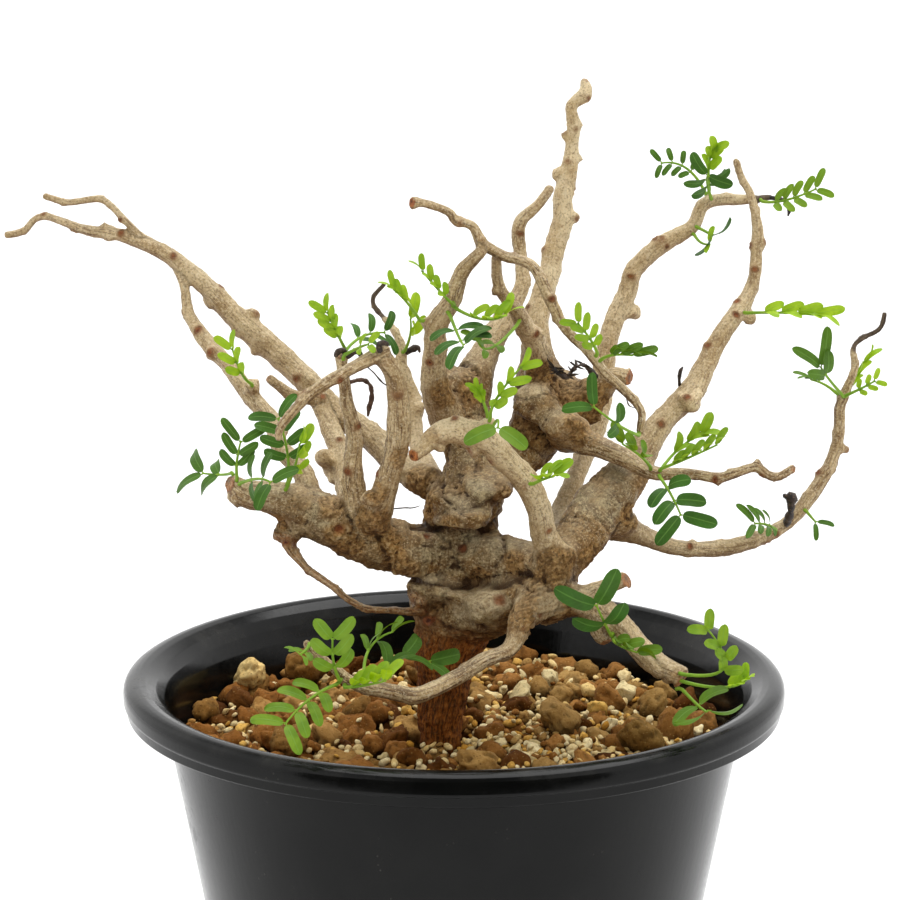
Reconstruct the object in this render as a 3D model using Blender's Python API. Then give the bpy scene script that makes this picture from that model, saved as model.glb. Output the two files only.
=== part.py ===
"""A potted caudex plant: one piece of gnarled wood with many arms, some fifty compound leaves,
two dried remains of flowers, a bed of loose gravel and the plastic pot that holds it all.

Everything is in metres with +Z up. The origin is the middle of the pot's underside, on the table.
The tables below are in millimetres, because that is how such a plant would be measured.
"""

import math

import bpy
import bmesh
import numpy as np
from mathutils import Vector
from mathutils.bvhtree import BVHTree

for old in list(bpy.data.objects):
    bpy.data.objects.remove(old)

MM = 0.001

# ---- driving dimensions, in millimetres ----
POT_HEIGHT = 130.0
POT_RIM_RADIUS = 75.0
POT_BASE_RADIUS = 43.0
POT_WALL = 1.7
POT_SIDES = 40
DRAIN_HOLES = 6
DRAIN_RADIUS = 4.5
DRAIN_CIRCLE = 24.0
FLOOR_TOP = 3.4
SOIL_LEVEL = 115.2
SOIL_CLEARANCE = 0.35
ROOT_CLEARANCE = 0.7
LEAF_THICKNESS = 0.5
RACHIS_HALF = 0.36
LEAF_STANDOFF = 0.75
LEAFLET_WIDTH = 0.4
WOOD_VOXEL = 0.5
THINNEST_TWIG = 1.05
WOOD_TRIANGLES = 5200

# Every limb as a run of (x, y, z, radius), from where it leaves the wood to its end.
LIMBS = {
    "trunk": [
        (-3, -10, 103, 3.2), (-3, -10, 112, 4.5), (-3, -10, 122, 5.2), (-2, -10, 129, 5.6),
        (-2, -10, 136, 7.2), (0, -10, 143, 8.9), (0, -9, 149, 9.6), (0, -8, 158, 9.4),
        (1, -8, 166, 8.2), (2, -8, 170, 9.1), (4, -8, 176, 7.3), (4, -6, 182, 5.8),
        (1, -4, 187, 5.8), (0, -2, 192, 6.0), (0, 0, 198, 5.8),
    ],
    "left_bough": [
        (0, -11, 160, 6.0), (-10, -14, 162, 6.0), (-18, -17, 165, 6.2), (-26, -18, 169, 6.1),
        (-33, -19, 172, 5.2), (-39, -20, 175, 4.1), (-45, -20, 176, 3.1), (-49, -20, 179, 2.0),
    ],
    "right_shoulder": [
        (0, -11, 160, 5.3), (8, -15, 161, 5.1), (16, -20, 161, 4.6), (20, -24, 160, 5.0),
    ],
    "front_collar": [
        (0, -12, 147, 7.3), (8, -18, 150, 6.6), (14, -22, 153, 5.9), (21, -25, 155, 6.5),
    ],
    "front_arch": [
        (21, -25, 155, 5.7), (21, -27, 163, 3.9), (19, -29, 170, 3.0), (18, -31, 176, 2.8),
        (15, -32, 182, 2.8), (11, -33, 187, 2.8), (7, -34, 191, 2.8), (1, -34, 193, 3.0),
        (-4, -34, 192, 2.3), (-6, -35, 190, 1.7), (-9, -36, 188, 1.5),
    ],
    "low_front_branch": [
        (19, -28, 155, 4.8), (15, -32, 151, 3.0), (12, -36, 146, 1.9), (6, -40, 144, 1.7),
        (0, -44, 141, 1.7), (-7, -47, 139, 1.8), (-13, -50, 140, 1.7), (-19, -53, 142, 1.5),
        (-25, -55, 147, 1.1), (-29, -56, 150, 0.9), (-31, -57, 153, 0.9),
    ],
    "low_right_branch": [
        (21, -26, 154, 5.2), (27, -28, 154, 3.7), (33, -31, 152, 3.0), (36, -34, 150, 2.8),
        (40, -37, 146, 2.6), (44, -40, 143, 2.6), (49, -42, 141, 2.3),
    ],
    "short_stub": [
        (28, -29, 155, 2.8), (33, -30, 158, 1.9), (37, -31, 160, 1.8),
    ],
    "low_knob": [
        (31, -30, 152, 3.0), (32, -31, 148, 2.6), (33, -32, 146, 1.7),
    ],
    "right_trunk": [
        (21, -23, 159, 5.2), (26, -19, 164, 5.5), (32, -12, 171, 6.0), (39, -6, 177, 4.9),
        (43, -2, 183, 3.6), (48, 1, 189, 2.7), (53, 4, 194, 2.9), (57, 7, 200, 2.3),
        (61, 10, 207, 2.1), (65, 13, 212, 2.0), (68, 16, 218, 1.5), (69, 18, 224, 1.4),
        (69, 19, 228, 1.4), (68, 20, 232, 1.1), (67, 21, 237, 1.0), (65, 22, 241, 0.9),
        (64, 22, 244, 0.9),
    ],
    "right_reach": [
        (32, -12, 169, 5.3), (39, -8, 165, 2.9), (46, -4, 161, 2.0), (54, -1, 159, 1.8),
        (61, 2, 158, 1.9), (69, 5, 160, 1.7), (76, 7, 163, 1.6), (81, 9, 168, 1.7),
        (85, 11, 175, 1.5), (88, 12, 182, 1.4), (88, 13, 189, 1.3), (90, 13, 195, 1.0),
        (91, 14, 198, 0.9), (91, 15, 202, 0.9), (94, 16, 204, 0.9), (97, 16, 206, 0.9),
        (98, 16, 210, 0.9),
    ],
    "mid_right_branch": [
        (24, -2, 186, 4.9), (30, -8, 185, 2.7), (38, -13, 182, 2.1), (44, -16, 180, 1.6),
        (52, -17, 180, 1.3), (59, -18, 179, 1.2), (66, -19, 182, 1.0), (70, -20, 180, 0.9),
        (74, -20, 182, 0.9),
    ],
    "back_shoulder": [
        (4, -6, 176, 6.2), (11, 0, 177, 4.9), (17, 4, 182, 6.1), (21, 7, 189, 8.1),
        (22, 8, 191, 8.1), (28, 6, 191, 6.3), (33, 4, 195, 3.4), (36, 2, 198, 2.0),
        (39, 0, 198, 1.8),
    ],
    "tall_stem": [
        (20, 10, 193, 6.8), (19, 13, 200, 4.3), (19, 17, 208, 3.0), (21, 21, 216, 2.6),
        (23, 25, 223, 2.6), (25, 27, 229, 2.5), (25, 29, 235, 2.2), (26, 30, 239, 2.1),
        (27, 32, 246, 1.6), (28, 33, 251, 1.5), (27, 34, 255, 1.4), (30, 35, 258, 1.7),
        (30, 36, 261, 0.9),
    ],
    "back_arching_stem": [
        (27, -15, 164, 4.4), (25, -6, 163, 3.6), (24, 2, 165, 2.9), (27, 8, 172, 2.3), (31, 15, 179, 2.3), (34, 21, 188, 2.3),
        (35, 26, 197, 2.5), (37, 29, 206, 2.3), (40, 31, 212, 2.2), (42, 32, 217, 2.1),
        (48, 33, 223, 2.1), (55, 34, 227, 1.7), (58, 35, 232, 1.6), (65, 35, 233, 1.4),
        (72, 35, 234, 1.0), (77, 34, 233, 0.9),
    ],
    "centre_back_stem": [
        (2, 0, 187, 5.6), (4, 4, 196, 4.7), (7, 8, 202, 3.4), (12, 12, 210, 2.5),
        (15, 15, 216, 1.8), (15, 17, 224, 1.6), (15, 18, 230, 1.6), (19, 19, 234, 1.2),
        (22, 20, 238, 1.1),
    ],
    "centre_front_stem": [
        (-1, -6, 189, 4.4), (-4, -12, 198, 3.3), (-4, -15, 207, 2.6), (-4, -17, 213, 2.5),
        (0, -19, 219, 2.0), (2, -20, 225, 1.7), (6, -22, 230, 1.3),
    ],
    "leaning_stem": [
        (19, 4, 198, 4.0), (18, -2, 206, 2.7), (14, -8, 214, 1.8), (10, -13, 220, 1.4),
        (9, -17, 228, 1.2),
    ],
    "crossing_twig": [
        (40, -26, 191, 0.9), (40, -27, 196, 0.9), (36, -27, 201, 1.1), (31, -26, 206, 1.2),
        (25, -25, 212, 1.2), (21, -23, 219, 1.4), (17, -21, 226, 1.3), (11, -19, 228, 1.2),
        (6, -20, 232, 1.3), (4, -21, 235, 1.1), (0, -22, 236, 1.0), (-1, -23, 238, 1.0),
        (-5, -24, 240, 1.0), (-9, -25, 241, 1.2),
    ],
    "long_left_bough": [
        (-5, -2, 174, 4.0), (-13, 6, 177, 3.2), (-20, 12, 183, 3.0), (-28, 16, 188, 3.0),
        (-35, 18, 195, 2.9), (-44, 20, 203, 3.0), (-53, 22, 211, 2.5), (-60, 23, 218, 2.1),
        (-67, 24, 223, 1.8), (-76, 25, 226, 1.5), (-82, 26, 227, 1.4), (-88, 26, 229, 1.1),
        (-95, 27, 230, 0.9), (-99, 27, 227, 0.9), (-103, 27, 226, 0.9),
    ],
    "bough_fork": [
        (-23, -4, 171, 3.1), (-25, 4, 178, 2.5), (-28, 10, 184, 2.3), (-31, 15, 190, 2.1),
    ],
    "upper_left_twig": [
        (-65, 24, 222, 1.6), (-71, 24, 226, 1.0), (-76, 25, 231, 0.9), (-81, 26, 234, 0.9),
        (-88, 27, 234, 0.9), (-94, 28, 235, 0.9),
    ],
    "left_stem": [
        (-32, -17, 173, 3.1), (-33, -14, 179, 2.4), (-38, -9, 184, 2.1), (-41, -3, 189, 2.1),
        (-46, 3, 194, 2.0), (-51, 9, 199, 1.9), (-56, 14, 203, 1.9), (-60, 19, 209, 1.4),
        (-62, 22, 215, 1.1), (-64, 24, 220, 1.1),
    ],
    "knobby_stem": [
        (-21, -20, 172, 3.1), (-22, -22, 182, 2.2), (-22, -23, 191, 1.8), (-23, -25, 199, 1.5),
        (-24, -26, 206, 1.3), (-24, -26, 208, 1.5),
    ],
    "strong_stem": [
        (-18, -22, 170, 3.9), (-15, -26, 178, 3.0), (-13, -28, 185, 2.6), (-12, -30, 193, 2.5),
        (-12, -31, 199, 2.3), (-13, -33, 206, 2.0), (-16, -34, 210, 1.9),
    ],
    "hanging_twig": [
        (-15, -34, 210, 1.8), (-20, -36, 208, 1.5), (-26, -38, 205, 1.4), (-31, -40, 201, 1.2),
        (-36, -42, 196, 1.0), (-37, -42, 193, 0.9),
    ],
    "pale_back_stem": [
        (-5, 4, 174, 2.7), (-8, 14, 179, 2.1), (-9, 19, 184, 1.8), (-10, 23, 190, 1.7),
        (-12, 25, 196, 1.6), (-12, 26, 200, 1.2), (-15, 28, 205, 0.9), (-19, 31, 210, 0.9),
        (-16, 33, 214, 0.9),
    ],
    "short_back_stub": [
        (-30, 14, 190, 1.6), (-36, 12, 192, 1.4), (-42, 10, 196, 1.1),
    ],
    "dry_lower_twig": [
        (-34, -18, 169, 2.4), (-36, -20, 165, 1.5), (-33, -22, 161, 1.0), (-28, -24, 157, 0.9),
        (-24, -25, 154, 0.9), (-19, -25, 152, 0.9), (-12, -22, 150, 0.9), (-5, -14, 148, 0.9),
    ],
}

# Burrs, cut stubs and old leaf joints that swell the wood: (x, y, z, radius).
BURRS = [
    (1, -20, 172, 6.6), (6, -18, 177, 5.7), (-5, -20, 154, 5.3), (6, -26, 152, 4.8),
    (-37, -20, 168, 3.1), (-48, -21, 175, 2.0), (-19, -30, 177, 2.4), (-37, -6, 187, 1.6),
    (-45, 20, 201, 2.7), (-46, 22, 209, 2.1), (-56, 23, 211, 1.9), (-55, 10, 202, 1.8),
    (-80, 26, 229, 1.0), (-79, 25, 225, 1.0), (-45, 0, 197, 2.0), (53, 0, 193, 3.1),
    (57, 9, 204, 1.4), (67, 14, 209, 2.0), (68, 16, 220, 1.4), (70, 19, 225, 1.5),
    (42, 30, 207, 1.9), (40, 32, 216, 1.4), (48, 32, 224, 1.4), (59, 35, 233, 1.6),
    (28, 27, 230, 1.4), (23, 30, 240, 1.4), (29, 32, 243, 1.1), (25, 33, 248, 1.1),
    (29, 33, 251, 1.1), (23, 24, 220, 1.4), (15, 18, 230, 1.1), (-7, -17, 214, 1.5),
    (9, -14, 220, 1.4), (19, -4, 209, 1.8), (6, -22, 232, 1.3), (21, -24, 220, 1.4),
    (-9, -25, 240, 1.3), (-8, 20, 187, 2.1), (-27, 6, 174, 3.4), (-30, 2, 179, 2.5),
    (39, 0, 198, 1.9), (8, -36, 196, 1.8), (-3, -34, 189, 1.5), (4, -34, 188, 1.7),
    (38, -31, 159, 1.5), (47, -43, 141, 1.7), (50, -43, 141, 1.6), (2, -42, 141, 1.7),
    (33, -32, 146, 1.7), (73, 6, 161, 1.4), (83, 11, 173, 1.1), (89, 12, 179, 1.1),
    (88, 13, 191, 1.4), (67, 5, 162, 1.1), (54, -1, 161, 1.1), (31, 2, 187, 3.1),
    (17, -6, 194, 5.3), (25, -8, 189, 4.9), (-19, -22, 164, 3.1), (-10, -20, 159, 3.9),
    (10, -22, 156, 3.5), (58, -18, 178, 1.0), (66, -19, 183, 1.0), (70, -20, 180, 1.0),
    (-24, -26, 208, 1.7), (-15, -35, 210, 1.9), (30, 35, 257, 1.7), (37, -10, 168, 4.0),
    (23, -26, 165, 3.7),
]

# name, where it leaves the bark, middle of its stalk, end of its stalk, pairs of leaflets, leaflet length,
# angle of the leaflets from the stalk, how far they fold up, share of bare stalk, the way its face looks
LEAVES = [
    ("low_front_a", (-26, -57, 142), (-30, -61, 142), (-35, -66, 138), 4, 7.2, 62, 8, 0.3, (-0.2, -0.8, 0.6)),
    ("low_front_b", (-24, -57, 144), (-25, -61, 150), (-25, -64, 156), 3, 6.8, 36, 8, 0.35, (0.1, -1, 0.1)),
    ("low_front_c", (-23, -55, 143), (-19, -58, 144), (-14, -61, 146), 4, 5.0, 52, 58, 0.25, (0.0, -0.35, 0.95)),
    ("low_front_d", (-19, -50, 143), (-18, -44, 148), (-13, -38, 150), 3, 5.1, 32, 20, 0.45, (-0.3, -0.2, 0.9)),
    ("low_front_e", (-16, -46, 140), (-13, -39, 144), (-5, -34, 142), 3, 6.9, 38, 25, 0.35, (0.1, -0.7, 0.7)),
    ("low_front_f", (-30, -58, 153), (-31, -60, 152), (-32, -62, 152), 2, 2.9, 60, 0, 0.5, (0.0, -0.7, 0.7)),
    ("low_right_a", (49, -46, 143), (57, -48, 145), (53, -49, 154), 4, 4.6, 50, 10, 0.45, (0.3, -0.9, 0.2)),
    ("low_right_b", (50, -44, 140), (57, -46, 140), (62, -47, 142), 4, 3.4, 50, 55, 0.6, (0.0, -0.5, 0.9)),
    ("low_right_c", (50, -45, 137), (52, -51, 137), (53, -56, 138), 2, 7.1, 75, 5, 0.4, (0.0, -1, 0.4)),
    ("elbow_a", (33, -37, 148), (32, -42, 153), (30, -45, 158), 2, 7.2, 48, 8, 0.45, (-0.1, -1, 0.1)),
    ("elbow_b", (33, -36, 147), (35, -41, 148), (39, -44, 147), 3, 4.2, 30, 35, 0.4, (0.2, -0.6, 0.8)),
    ("left_end_a", (-47, -22, 180), (-47, -24, 184), (-46, -24, 189), 3, 5.8, 44, 8, 0.4, (0, -1, 0.1)),
    ("left_end_b", (-48, -20, 180), (-51, -14, 179), (-56, -8, 178), 3, 5.8, 28, 25, 0.35, (-0.1, -0.6, 0.8)),
    ("left_end_c", (-46, -26, 181), (-42, -31, 182), (-39, -35, 182), 3, 5.7, 70, 8, 0.3, (0, -0.8, 0.6)),
    ("left_end_d", (-36, -22, 180), (-36, -26, 187), (-38, -24, 194), 4, 5.6, 58, 10, 0.4, (0, -1, 0.2)),
    ("left_end_e", (-35, -24, 181), (-34, -30, 185), (-33, -32, 190), 3, 4.7, 30, 40, 0.35, (0.2, -1, 0.1)),
    ("left_stem_a", (-45, -2, 197), (-47, -5, 200), (-49, -6, 206), 4, 4.0, 40, 35, 0.35, (-0.3, -0.9, 0.3)),
    ("knob_a", (-23, -24, 209), (-25, -27, 213), (-27, -29, 218), 4, 5.1, 40, 30, 0.3, (-0.2, -1, 0.2)),
    ("knob_b", (-23, -20, 208), (-20, -15, 210), (-15, -10, 210), 3, 4.8, 58, 15, 0.4, (0, -0.9, 0.5)),
    ("knob_c", (-23, -29, 209), (-20, -33, 211), (-18, -35, 212), 2, 3.6, 40, 20, 0.5, (0, -0.8, 0.6)),
    ("back_bright_a", (-11, 22, 200), (-10, 21, 204), (-10, 20, 208), 3, 4.1, 40, 45, 0.35, (0.2, -1, 0)),
    ("centre_left_a", (-8, -19, 214), (-10, -19, 218), (-13, -19, 221), 4, 3.2, 42, 35, 0.35, (-0.4, -0.9, 0.4)),
    ("centre_up_a", (0, -24, 217), (-2, -28, 221), (-7, -30, 227), 5, 3.2, 45, 30, 0.3, (-0.3, -0.9, 0.4)),
    ("centre_up_b", (2, -24, 216), (6, -27, 216), (11, -28, 217), 4, 3.2, 55, 55, 0.35, (0, -0.4, 0.9)),
    ("centre_up_c", (0, -27, 213), (1, -32, 213), (2, -36, 212), 3, 6.3, 72, 5, 0.3, (0, -0.85, 0.55)),
    ("centre_up_d", (13, -16, 207), (8, -28, 210), (5, -31, 212), 3, 4.2, 40, 15, 0.4, (0, -0.8, 0.6)),
    ("arch_a", (8, -39, 198), (9, -42, 202), (14, -44, 209), 4, 5.0, 42, 20, 0.3, (0.3, -1, 0.1)),
    ("arch_b", (7, -35, 197), (6, -35, 200), (5, -35, 202), 3, 2.3, 45, 25, 0.4, (-0.1, -1, 0.2)),
    ("arch_c", (9, -44, 193), (9, -46, 198), (9, -50, 197), 1, 7.8, 58, 0, 0.95, (0, -0.8, 0.6)),
    ("arch_d", (17, -36, 182), (19, -40, 184), (21, -42, 185), 3, 4.2, 35, 30, 0.3, (0, -0.6, 0.8)),
    ("twig_a", (31, -28, 209), (29, -30, 212), (26, -31, 216), 4, 3.6, 48, 15, 0.3, (0.1, -1, 0.1)),
    ("twig_b", (32, -28, 208), (34, -31, 209), (38, -32, 209), 3, 4.0, 40, 10, 0.4, (0, -0.8, 0.5)),
    ("twig_c", (39, -31, 190), (35, -38, 195), (29, -41, 200), 3, 6.4, 48, 12, 0.55, (-0.1, -0.9, 0.4)),
    ("fork_a", (43, -19, 183), (40, -26, 186), (36, -28, 189), 3, 4.7, 42, 12, 0.4, (-0.2, -1, 0.2)),
    ("fork_b", (45, -18, 181), (50, -21, 184), (57, -24, 188), 5, 4.8, 48, 15, 0.25, (0, -0.8, 0.5)),
    ("fork_c", (46, -12, 181), (50, -9, 184), (55, -8, 187), 3, 4.9, 32, 15, 0.35, (0, -0.8, 0.6)),
    ("fork_d", (45, -20, 180), (47, -25, 177), (49, -28, 173), 3, 6.5, 58, 5, 0.3, (0, -1, 0.15)),
    ("reach_a", (74, 0, 165), (70, -3, 165), (67, -6, 166), 4, 5.1, 50, 10, 0.3, (0, -0.9, 0.5)),
    ("reach_b", (80, 6, 166), (81, 4, 165), (82, 3, 164), 1, 3.8, 40, 0, 0.8, (0, -0.8, 0.6)),
    ("tip_a", (87, 8, 192), (84, 5, 197), (82, 3, 200), 2, 8.5, 32, 15, 0.6, (-0.2, -1, 0.3)),
    ("tip_b", (89, 14, 191), (91, 18, 193), (94, 20, 198), 3, 4.1, 25, 20, 0.4, (0.3, -1, 0.1)),
    ("tip_c", (89, 10, 192), (92, 8, 194), (95, 7, 196), 3, 2.5, 40, 20, 0.4, (0.2, -0.9, 0.4)),
    ("tip_d", (87, 12, 192), (84, 13, 194), (81, 13, 195), 2, 2.9, 30, 0, 0.6, (0, -0.3, 1)),
    ("upper_right_a", (67, 8, 211), (73, 4, 212), (80, 1, 212), 4, 4.4, 38, 45, 0.45, (0, -0.4, 0.9)),
    ("crown_a", (59, 31, 235), (58, 28, 238), (58, 26, 240), 3, 5.7, 66, 10, 0.35, (0, -0.9, 0.5)),
    ("crown_b", (59, 36, 238), (59, 36, 241), (60, 35, 245), 3, 3.9, 35, 20, 0.4, (0.2, -1, 0.1)),
    ("crown_c", (58, 38, 235), (54, 39, 240), (48, 40, 241), 4, 3.0, 65, 10, 0.4, (0, -0.9, 0.4)),
    ("crown_d", (57, 31, 227), (59, 29, 226), (59, 26, 226), 1, 5.4, 80, 0, 0.9, (1, 0, 0.4)),
    ("crown_e", (56, 32, 225), (57, 29, 224), (59, 27, 224), 3, 2.3, 45, 25, 0.3, (0, -0.7, 0.7)),
    ("far_right_a", (71, 31, 233), (76, 28, 234), (83, 26, 237), 5, 4.1, 42, 15, 0.3, (0, -0.9, 0.4)),
]

# The dried remains of flowers: (x, y, z, radius).
DRIED = {
    "dried_flower_stalk": [(31, 2, 199, 0.9), (29, -1, 201, 0.7), (27, -3, 201, 0.7), (26, -3, 200, 0.9), (25, -4, 199, 1.1), (23, -5, 200, 0.9), (22, -5, 201, 1.1)],
    "dried_spur": [(76, 3, 164, 0.9), (76, 2, 167, 1.1), (76, 2, 170, 1.0)],
}


def material(name, colour, roughness):
    made = bpy.data.materials.new(name)
    made.use_nodes = True
    shader = made.node_tree.nodes["Principled BSDF"]
    shader.inputs["Base Color"].default_value = (*colour, 1.0)
    shader.inputs["Roughness"].default_value = roughness
    return made


BLACK_PLASTIC = material("black_plastic", (0.02, 0.02, 0.022), 0.3)
GRAVEL = material("gravel", (0.32, 0.19, 0.09), 0.9)
BARK = material("bark", (0.42, 0.34, 0.25), 0.85)
GREEN_LEAF = material("green_leaf", (0.12, 0.33, 0.05), 0.5)
DRIED_HUSK = material("dried_husk", (0.05, 0.035, 0.03), 0.9)


def new_object(name, points, faces, look, smooth=True):
    """One object from points in millimetres."""
    mesh = bpy.data.meshes.new(name)
    mesh.from_pydata([tuple(c * MM for c in p) for p in points], [], faces)
    mesh.update()
    mesh.materials.append(look)
    obj = bpy.data.objects.new(name, mesh)
    bpy.context.scene.collection.objects.link(obj)
    if smooth:
        mesh.shade_smooth()
    return obj


def helper(obj):
    obj.hide_render = True
    obj.display_type = "WIRE"


def boolean(obj, other, operation):
    modifier = obj.modifiers.new(operation.title(), "BOOLEAN")
    modifier.operation = operation
    modifier.solver = "EXACT"
    modifier.object = other
    helper(other)


def smooth_run(points, step):
    """A run through the given points (any number of columns), bent as a springy rod would be."""
    p = np.array(points, float)
    p = np.vstack([2 * p[0] - p[1], p, 2 * p[-1] - p[-2]])
    out = []
    for i in range(1, len(p) - 2):
        a, b, c, d = p[i - 1 : i + 3]
        count = max(1, int(round(np.linalg.norm((c - b)[:3]) / step)))
        for k in range(count):
            t = k / count
            out.append(
                0.5 * ((2 * b) + (c - a) * t + (2 * a - 5 * b + 4 * c - d) * t**2
                       + (3 * b - a - 3 * c + d) * t**3)
            )
    out.append(p[-2])
    return np.array(out)


def tube(run, sides):
    """Points and faces of a closed tube along a run of (x, y, z, radius), with rounded ends."""
    centres, radii = run[:, :3], run[:, 3]
    points, faces = [], []
    along = Vector(centres[1] - centres[0]).normalized()
    side = along.orthogonal().normalized()
    for i, (centre, radius) in enumerate(zip(centres, radii)):
        ahead = Vector(centres[min(i + 1, len(centres) - 1)] - centres[max(i - 1, 0)]).normalized()
        side = (side - ahead * side.dot(ahead)).normalized()
        other = ahead.cross(side)
        for k in range(sides):
            angle = 2 * math.pi * k / sides
            points.append(Vector(centre) + (side * math.cos(angle) + other * math.sin(angle)) * radius)
    for i in range(len(centres) - 1):
        for k in range(sides):
            a, b = i * sides + k, i * sides + (k + 1) % sides
            faces.append((a, b, b + sides, a + sides))
    first = Vector(centres[0]) - Vector(centres[1] - centres[0]).normalized() * radii[0] * 0.6
    last = Vector(centres[-1]) + Vector(centres[-1] - centres[-2]).normalized() * radii[-1] * 0.6
    points += [first, last]
    end = (len(centres) - 1) * sides
    for k in range(sides):
        faces.append((len(points) - 2, (k + 1) % sides, k))
        faces.append((len(points) - 1, end + k, end + (k + 1) % sides))
    return points, faces


def ball(centre, radius):
    made = bmesh.new()
    bmesh.ops.create_icosphere(made, subdivisions=2, radius=radius)
    points = [Vector(centre) + v.co for v in made.verts]
    faces = [tuple(v.index for v in f.verts) for f in made.faces]
    made.free()
    return points, faces


def joined(pieces):
    points, faces = [], []
    for some_points, some_faces in pieces:
        shift = len(points)
        points += some_points
        faces += [tuple(i + shift for i in f) for f in some_faces]
    return points, faces


def turned(profile, sides):
    """A closed solid turned about Z from a profile of (radius, z) that starts and ends on the axis."""
    points, faces = [(0, 0, profile[0][1]), (0, 0, profile[-1][1])], []
    rings = profile[1:-1]
    for radius, z in rings:
        for k in range(sides):
            angle = 2 * math.pi * k / sides
            points.append((radius * math.cos(angle), radius * math.sin(angle), z))
    for k in range(sides):
        after = (k + 1) % sides
        faces.append((0, 2 + after, 2 + k))
        last = 2 + (len(rings) - 1) * sides
        faces.append((1, last + k, last + after))
        for i in range(len(rings) - 1):
            a, b = 2 + i * sides + k, 2 + i * sides + after
            faces.append((a, b, b + sides, a + sides))
    return points, faces


# ---- the pot ----
def wall_radius(z):
    return POT_BASE_RADIUS + 0.187 * z


POT_PROFILE = [
    (0, 0), (9, 0), (9.6, 0.5), (10, 1.6), (36, 1.6), (36.6, 0.3), (37, 0), (42.4, 0), (43.1, 0.7),
    (wall_radius(109), 109), (65.9, 122.2),
    (66.5, 124.2), (68.2, 126.5), (70.6, 127.9), (72.2, 127.2), (72.5, 123.5),
    (73.4, 123.3), (73.6, 124.8), (74.5, 125.0), (POT_RIM_RADIUS, 126.0), (74.9, 127.6), (74.1, 129.1),
    (72.9, 129.9), (71.5, POT_HEIGHT), (70.0, 129.6), (67.6, 128.2), (65.7, 125.9), (64.5, 122.6),
    (63.3, 117.6), (62.3, 112.5), (wall_radius(5) - POT_WALL, 4.8), (41.2, FLOOR_TOP), (0, FLOOR_TOP),
]
pot = new_object("pot", *turned(POT_PROFILE, POT_SIDES), BLACK_PLASTIC)
drills = []
for k in range(DRAIN_HOLES):
    angle = 2 * math.pi * (k + 0.5) / DRAIN_HOLES
    x, y = DRAIN_CIRCLE * math.cos(angle), DRAIN_CIRCLE * math.sin(angle)
    drills.append(tube(np.array([(x, y, -3, DRAIN_RADIUS), (x, y, 9, DRAIN_RADIUS)], float), 12))
boolean(pot, new_object("drain_cutter", *joined(drills), BLACK_PLASTIC), "DIFFERENCE")


# ---- the wood: every limb joined into one skin ----
pieces = []
for run in LIMBS.values():
    limb = smooth_run(run, 2.0)
    limb[:, 3] = np.maximum(limb[:, 3], THINNEST_TWIG)
    pieces.append(tube(limb, 10))
pieces += [ball(row[:3], row[3]) for row in BURRS]
wood = new_object("wood", *joined(pieces), BARK)
skin = wood.modifiers.new("Skin over all limbs", "REMESH")
skin.mode = "VOXEL"
skin.voxel_size = WOOD_VOXEL * MM
ease = wood.modifiers.new("Ease the joins", "SMOOTH")
ease.factor = 0.5
ease.iterations = 1
bpy.context.view_layer.update()
graph = bpy.context.evaluated_depsgraph_get()
fine = wood.evaluated_get(graph).to_mesh()
fine.calc_loop_triangles()
share = WOOD_TRIANGLES / len(fine.loop_triangles)
wood.evaluated_get(graph).to_mesh_clear()
fewer = wood.modifiers.new("Fewer faces", "DECIMATE")
fewer.ratio = min(1.0, share)
fewer.use_collapse_triangulate = True
bpy.context.view_layer.update()
graph = bpy.context.evaluated_depsgraph_get()
bark_skin = BVHTree.FromObject(wood, graph)


# ---- the gravel bed ----
def lumps(x, y):
    return (
        1.1 * math.sin(0.62 * x + 1.3) * math.sin(0.57 * y + 0.4)
        + 0.7 * math.sin(0.31 * x - 0.43 * y + 2.0)
    )




def gravel_bed():
    points, faces = [(0, 0, SOIL_LEVEL + lumps(0, 0)), (0, 0, FLOOR_TOP + 0.3)], []
    radii = [8, 16, 24, 32, 40, 48, 55]
    edge = wall_radius(SOIL_LEVEL - 1.5) - POT_WALL - 0.4 - SOIL_CLEARANCE
    rings = [(r, SOIL_LEVEL, True) for r in radii] + [
        (edge, SOIL_LEVEL - 1.5, False),
        (wall_radius(5) - POT_WALL - SOIL_CLEARANCE, 5.3, False),
        (40.6, FLOOR_TOP + 0.3, False),
    ]
    for radius, z, bumpy in rings:
        for k in range(POT_SIDES):
            angle = 2 * math.pi * k / POT_SIDES
            x, y = radius * math.cos(angle), radius * math.sin(angle)
            points.append((x, y, z + (lumps(x, y) if bumpy else 0)))
    for k in range(POT_SIDES):
        after = (k + 1) % POT_SIDES
        faces.append((0, 2 + k, 2 + after))
        last = 2 + (len(rings) - 1) * POT_SIDES
        faces.append((1, last + after, last + k))
        for i in range(len(rings) - 1):
            a, b = 2 + i * POT_SIDES + k, 2 + i * POT_SIDES + after
            faces.append((a, a + POT_SIDES, b + POT_SIDES, b))
    return points, faces


gravel = new_object("gravel", *gravel_bed(), GRAVEL)
root_run = np.array(LIMBS["trunk"][:4], float)
root_run[:, 3] += ROOT_CLEARANCE
root_run[0, 2] -= 1.6
boolean(gravel, new_object("root_cutter", *tube(root_run, 14), GRAVEL), "DIFFERENCE")


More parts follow.
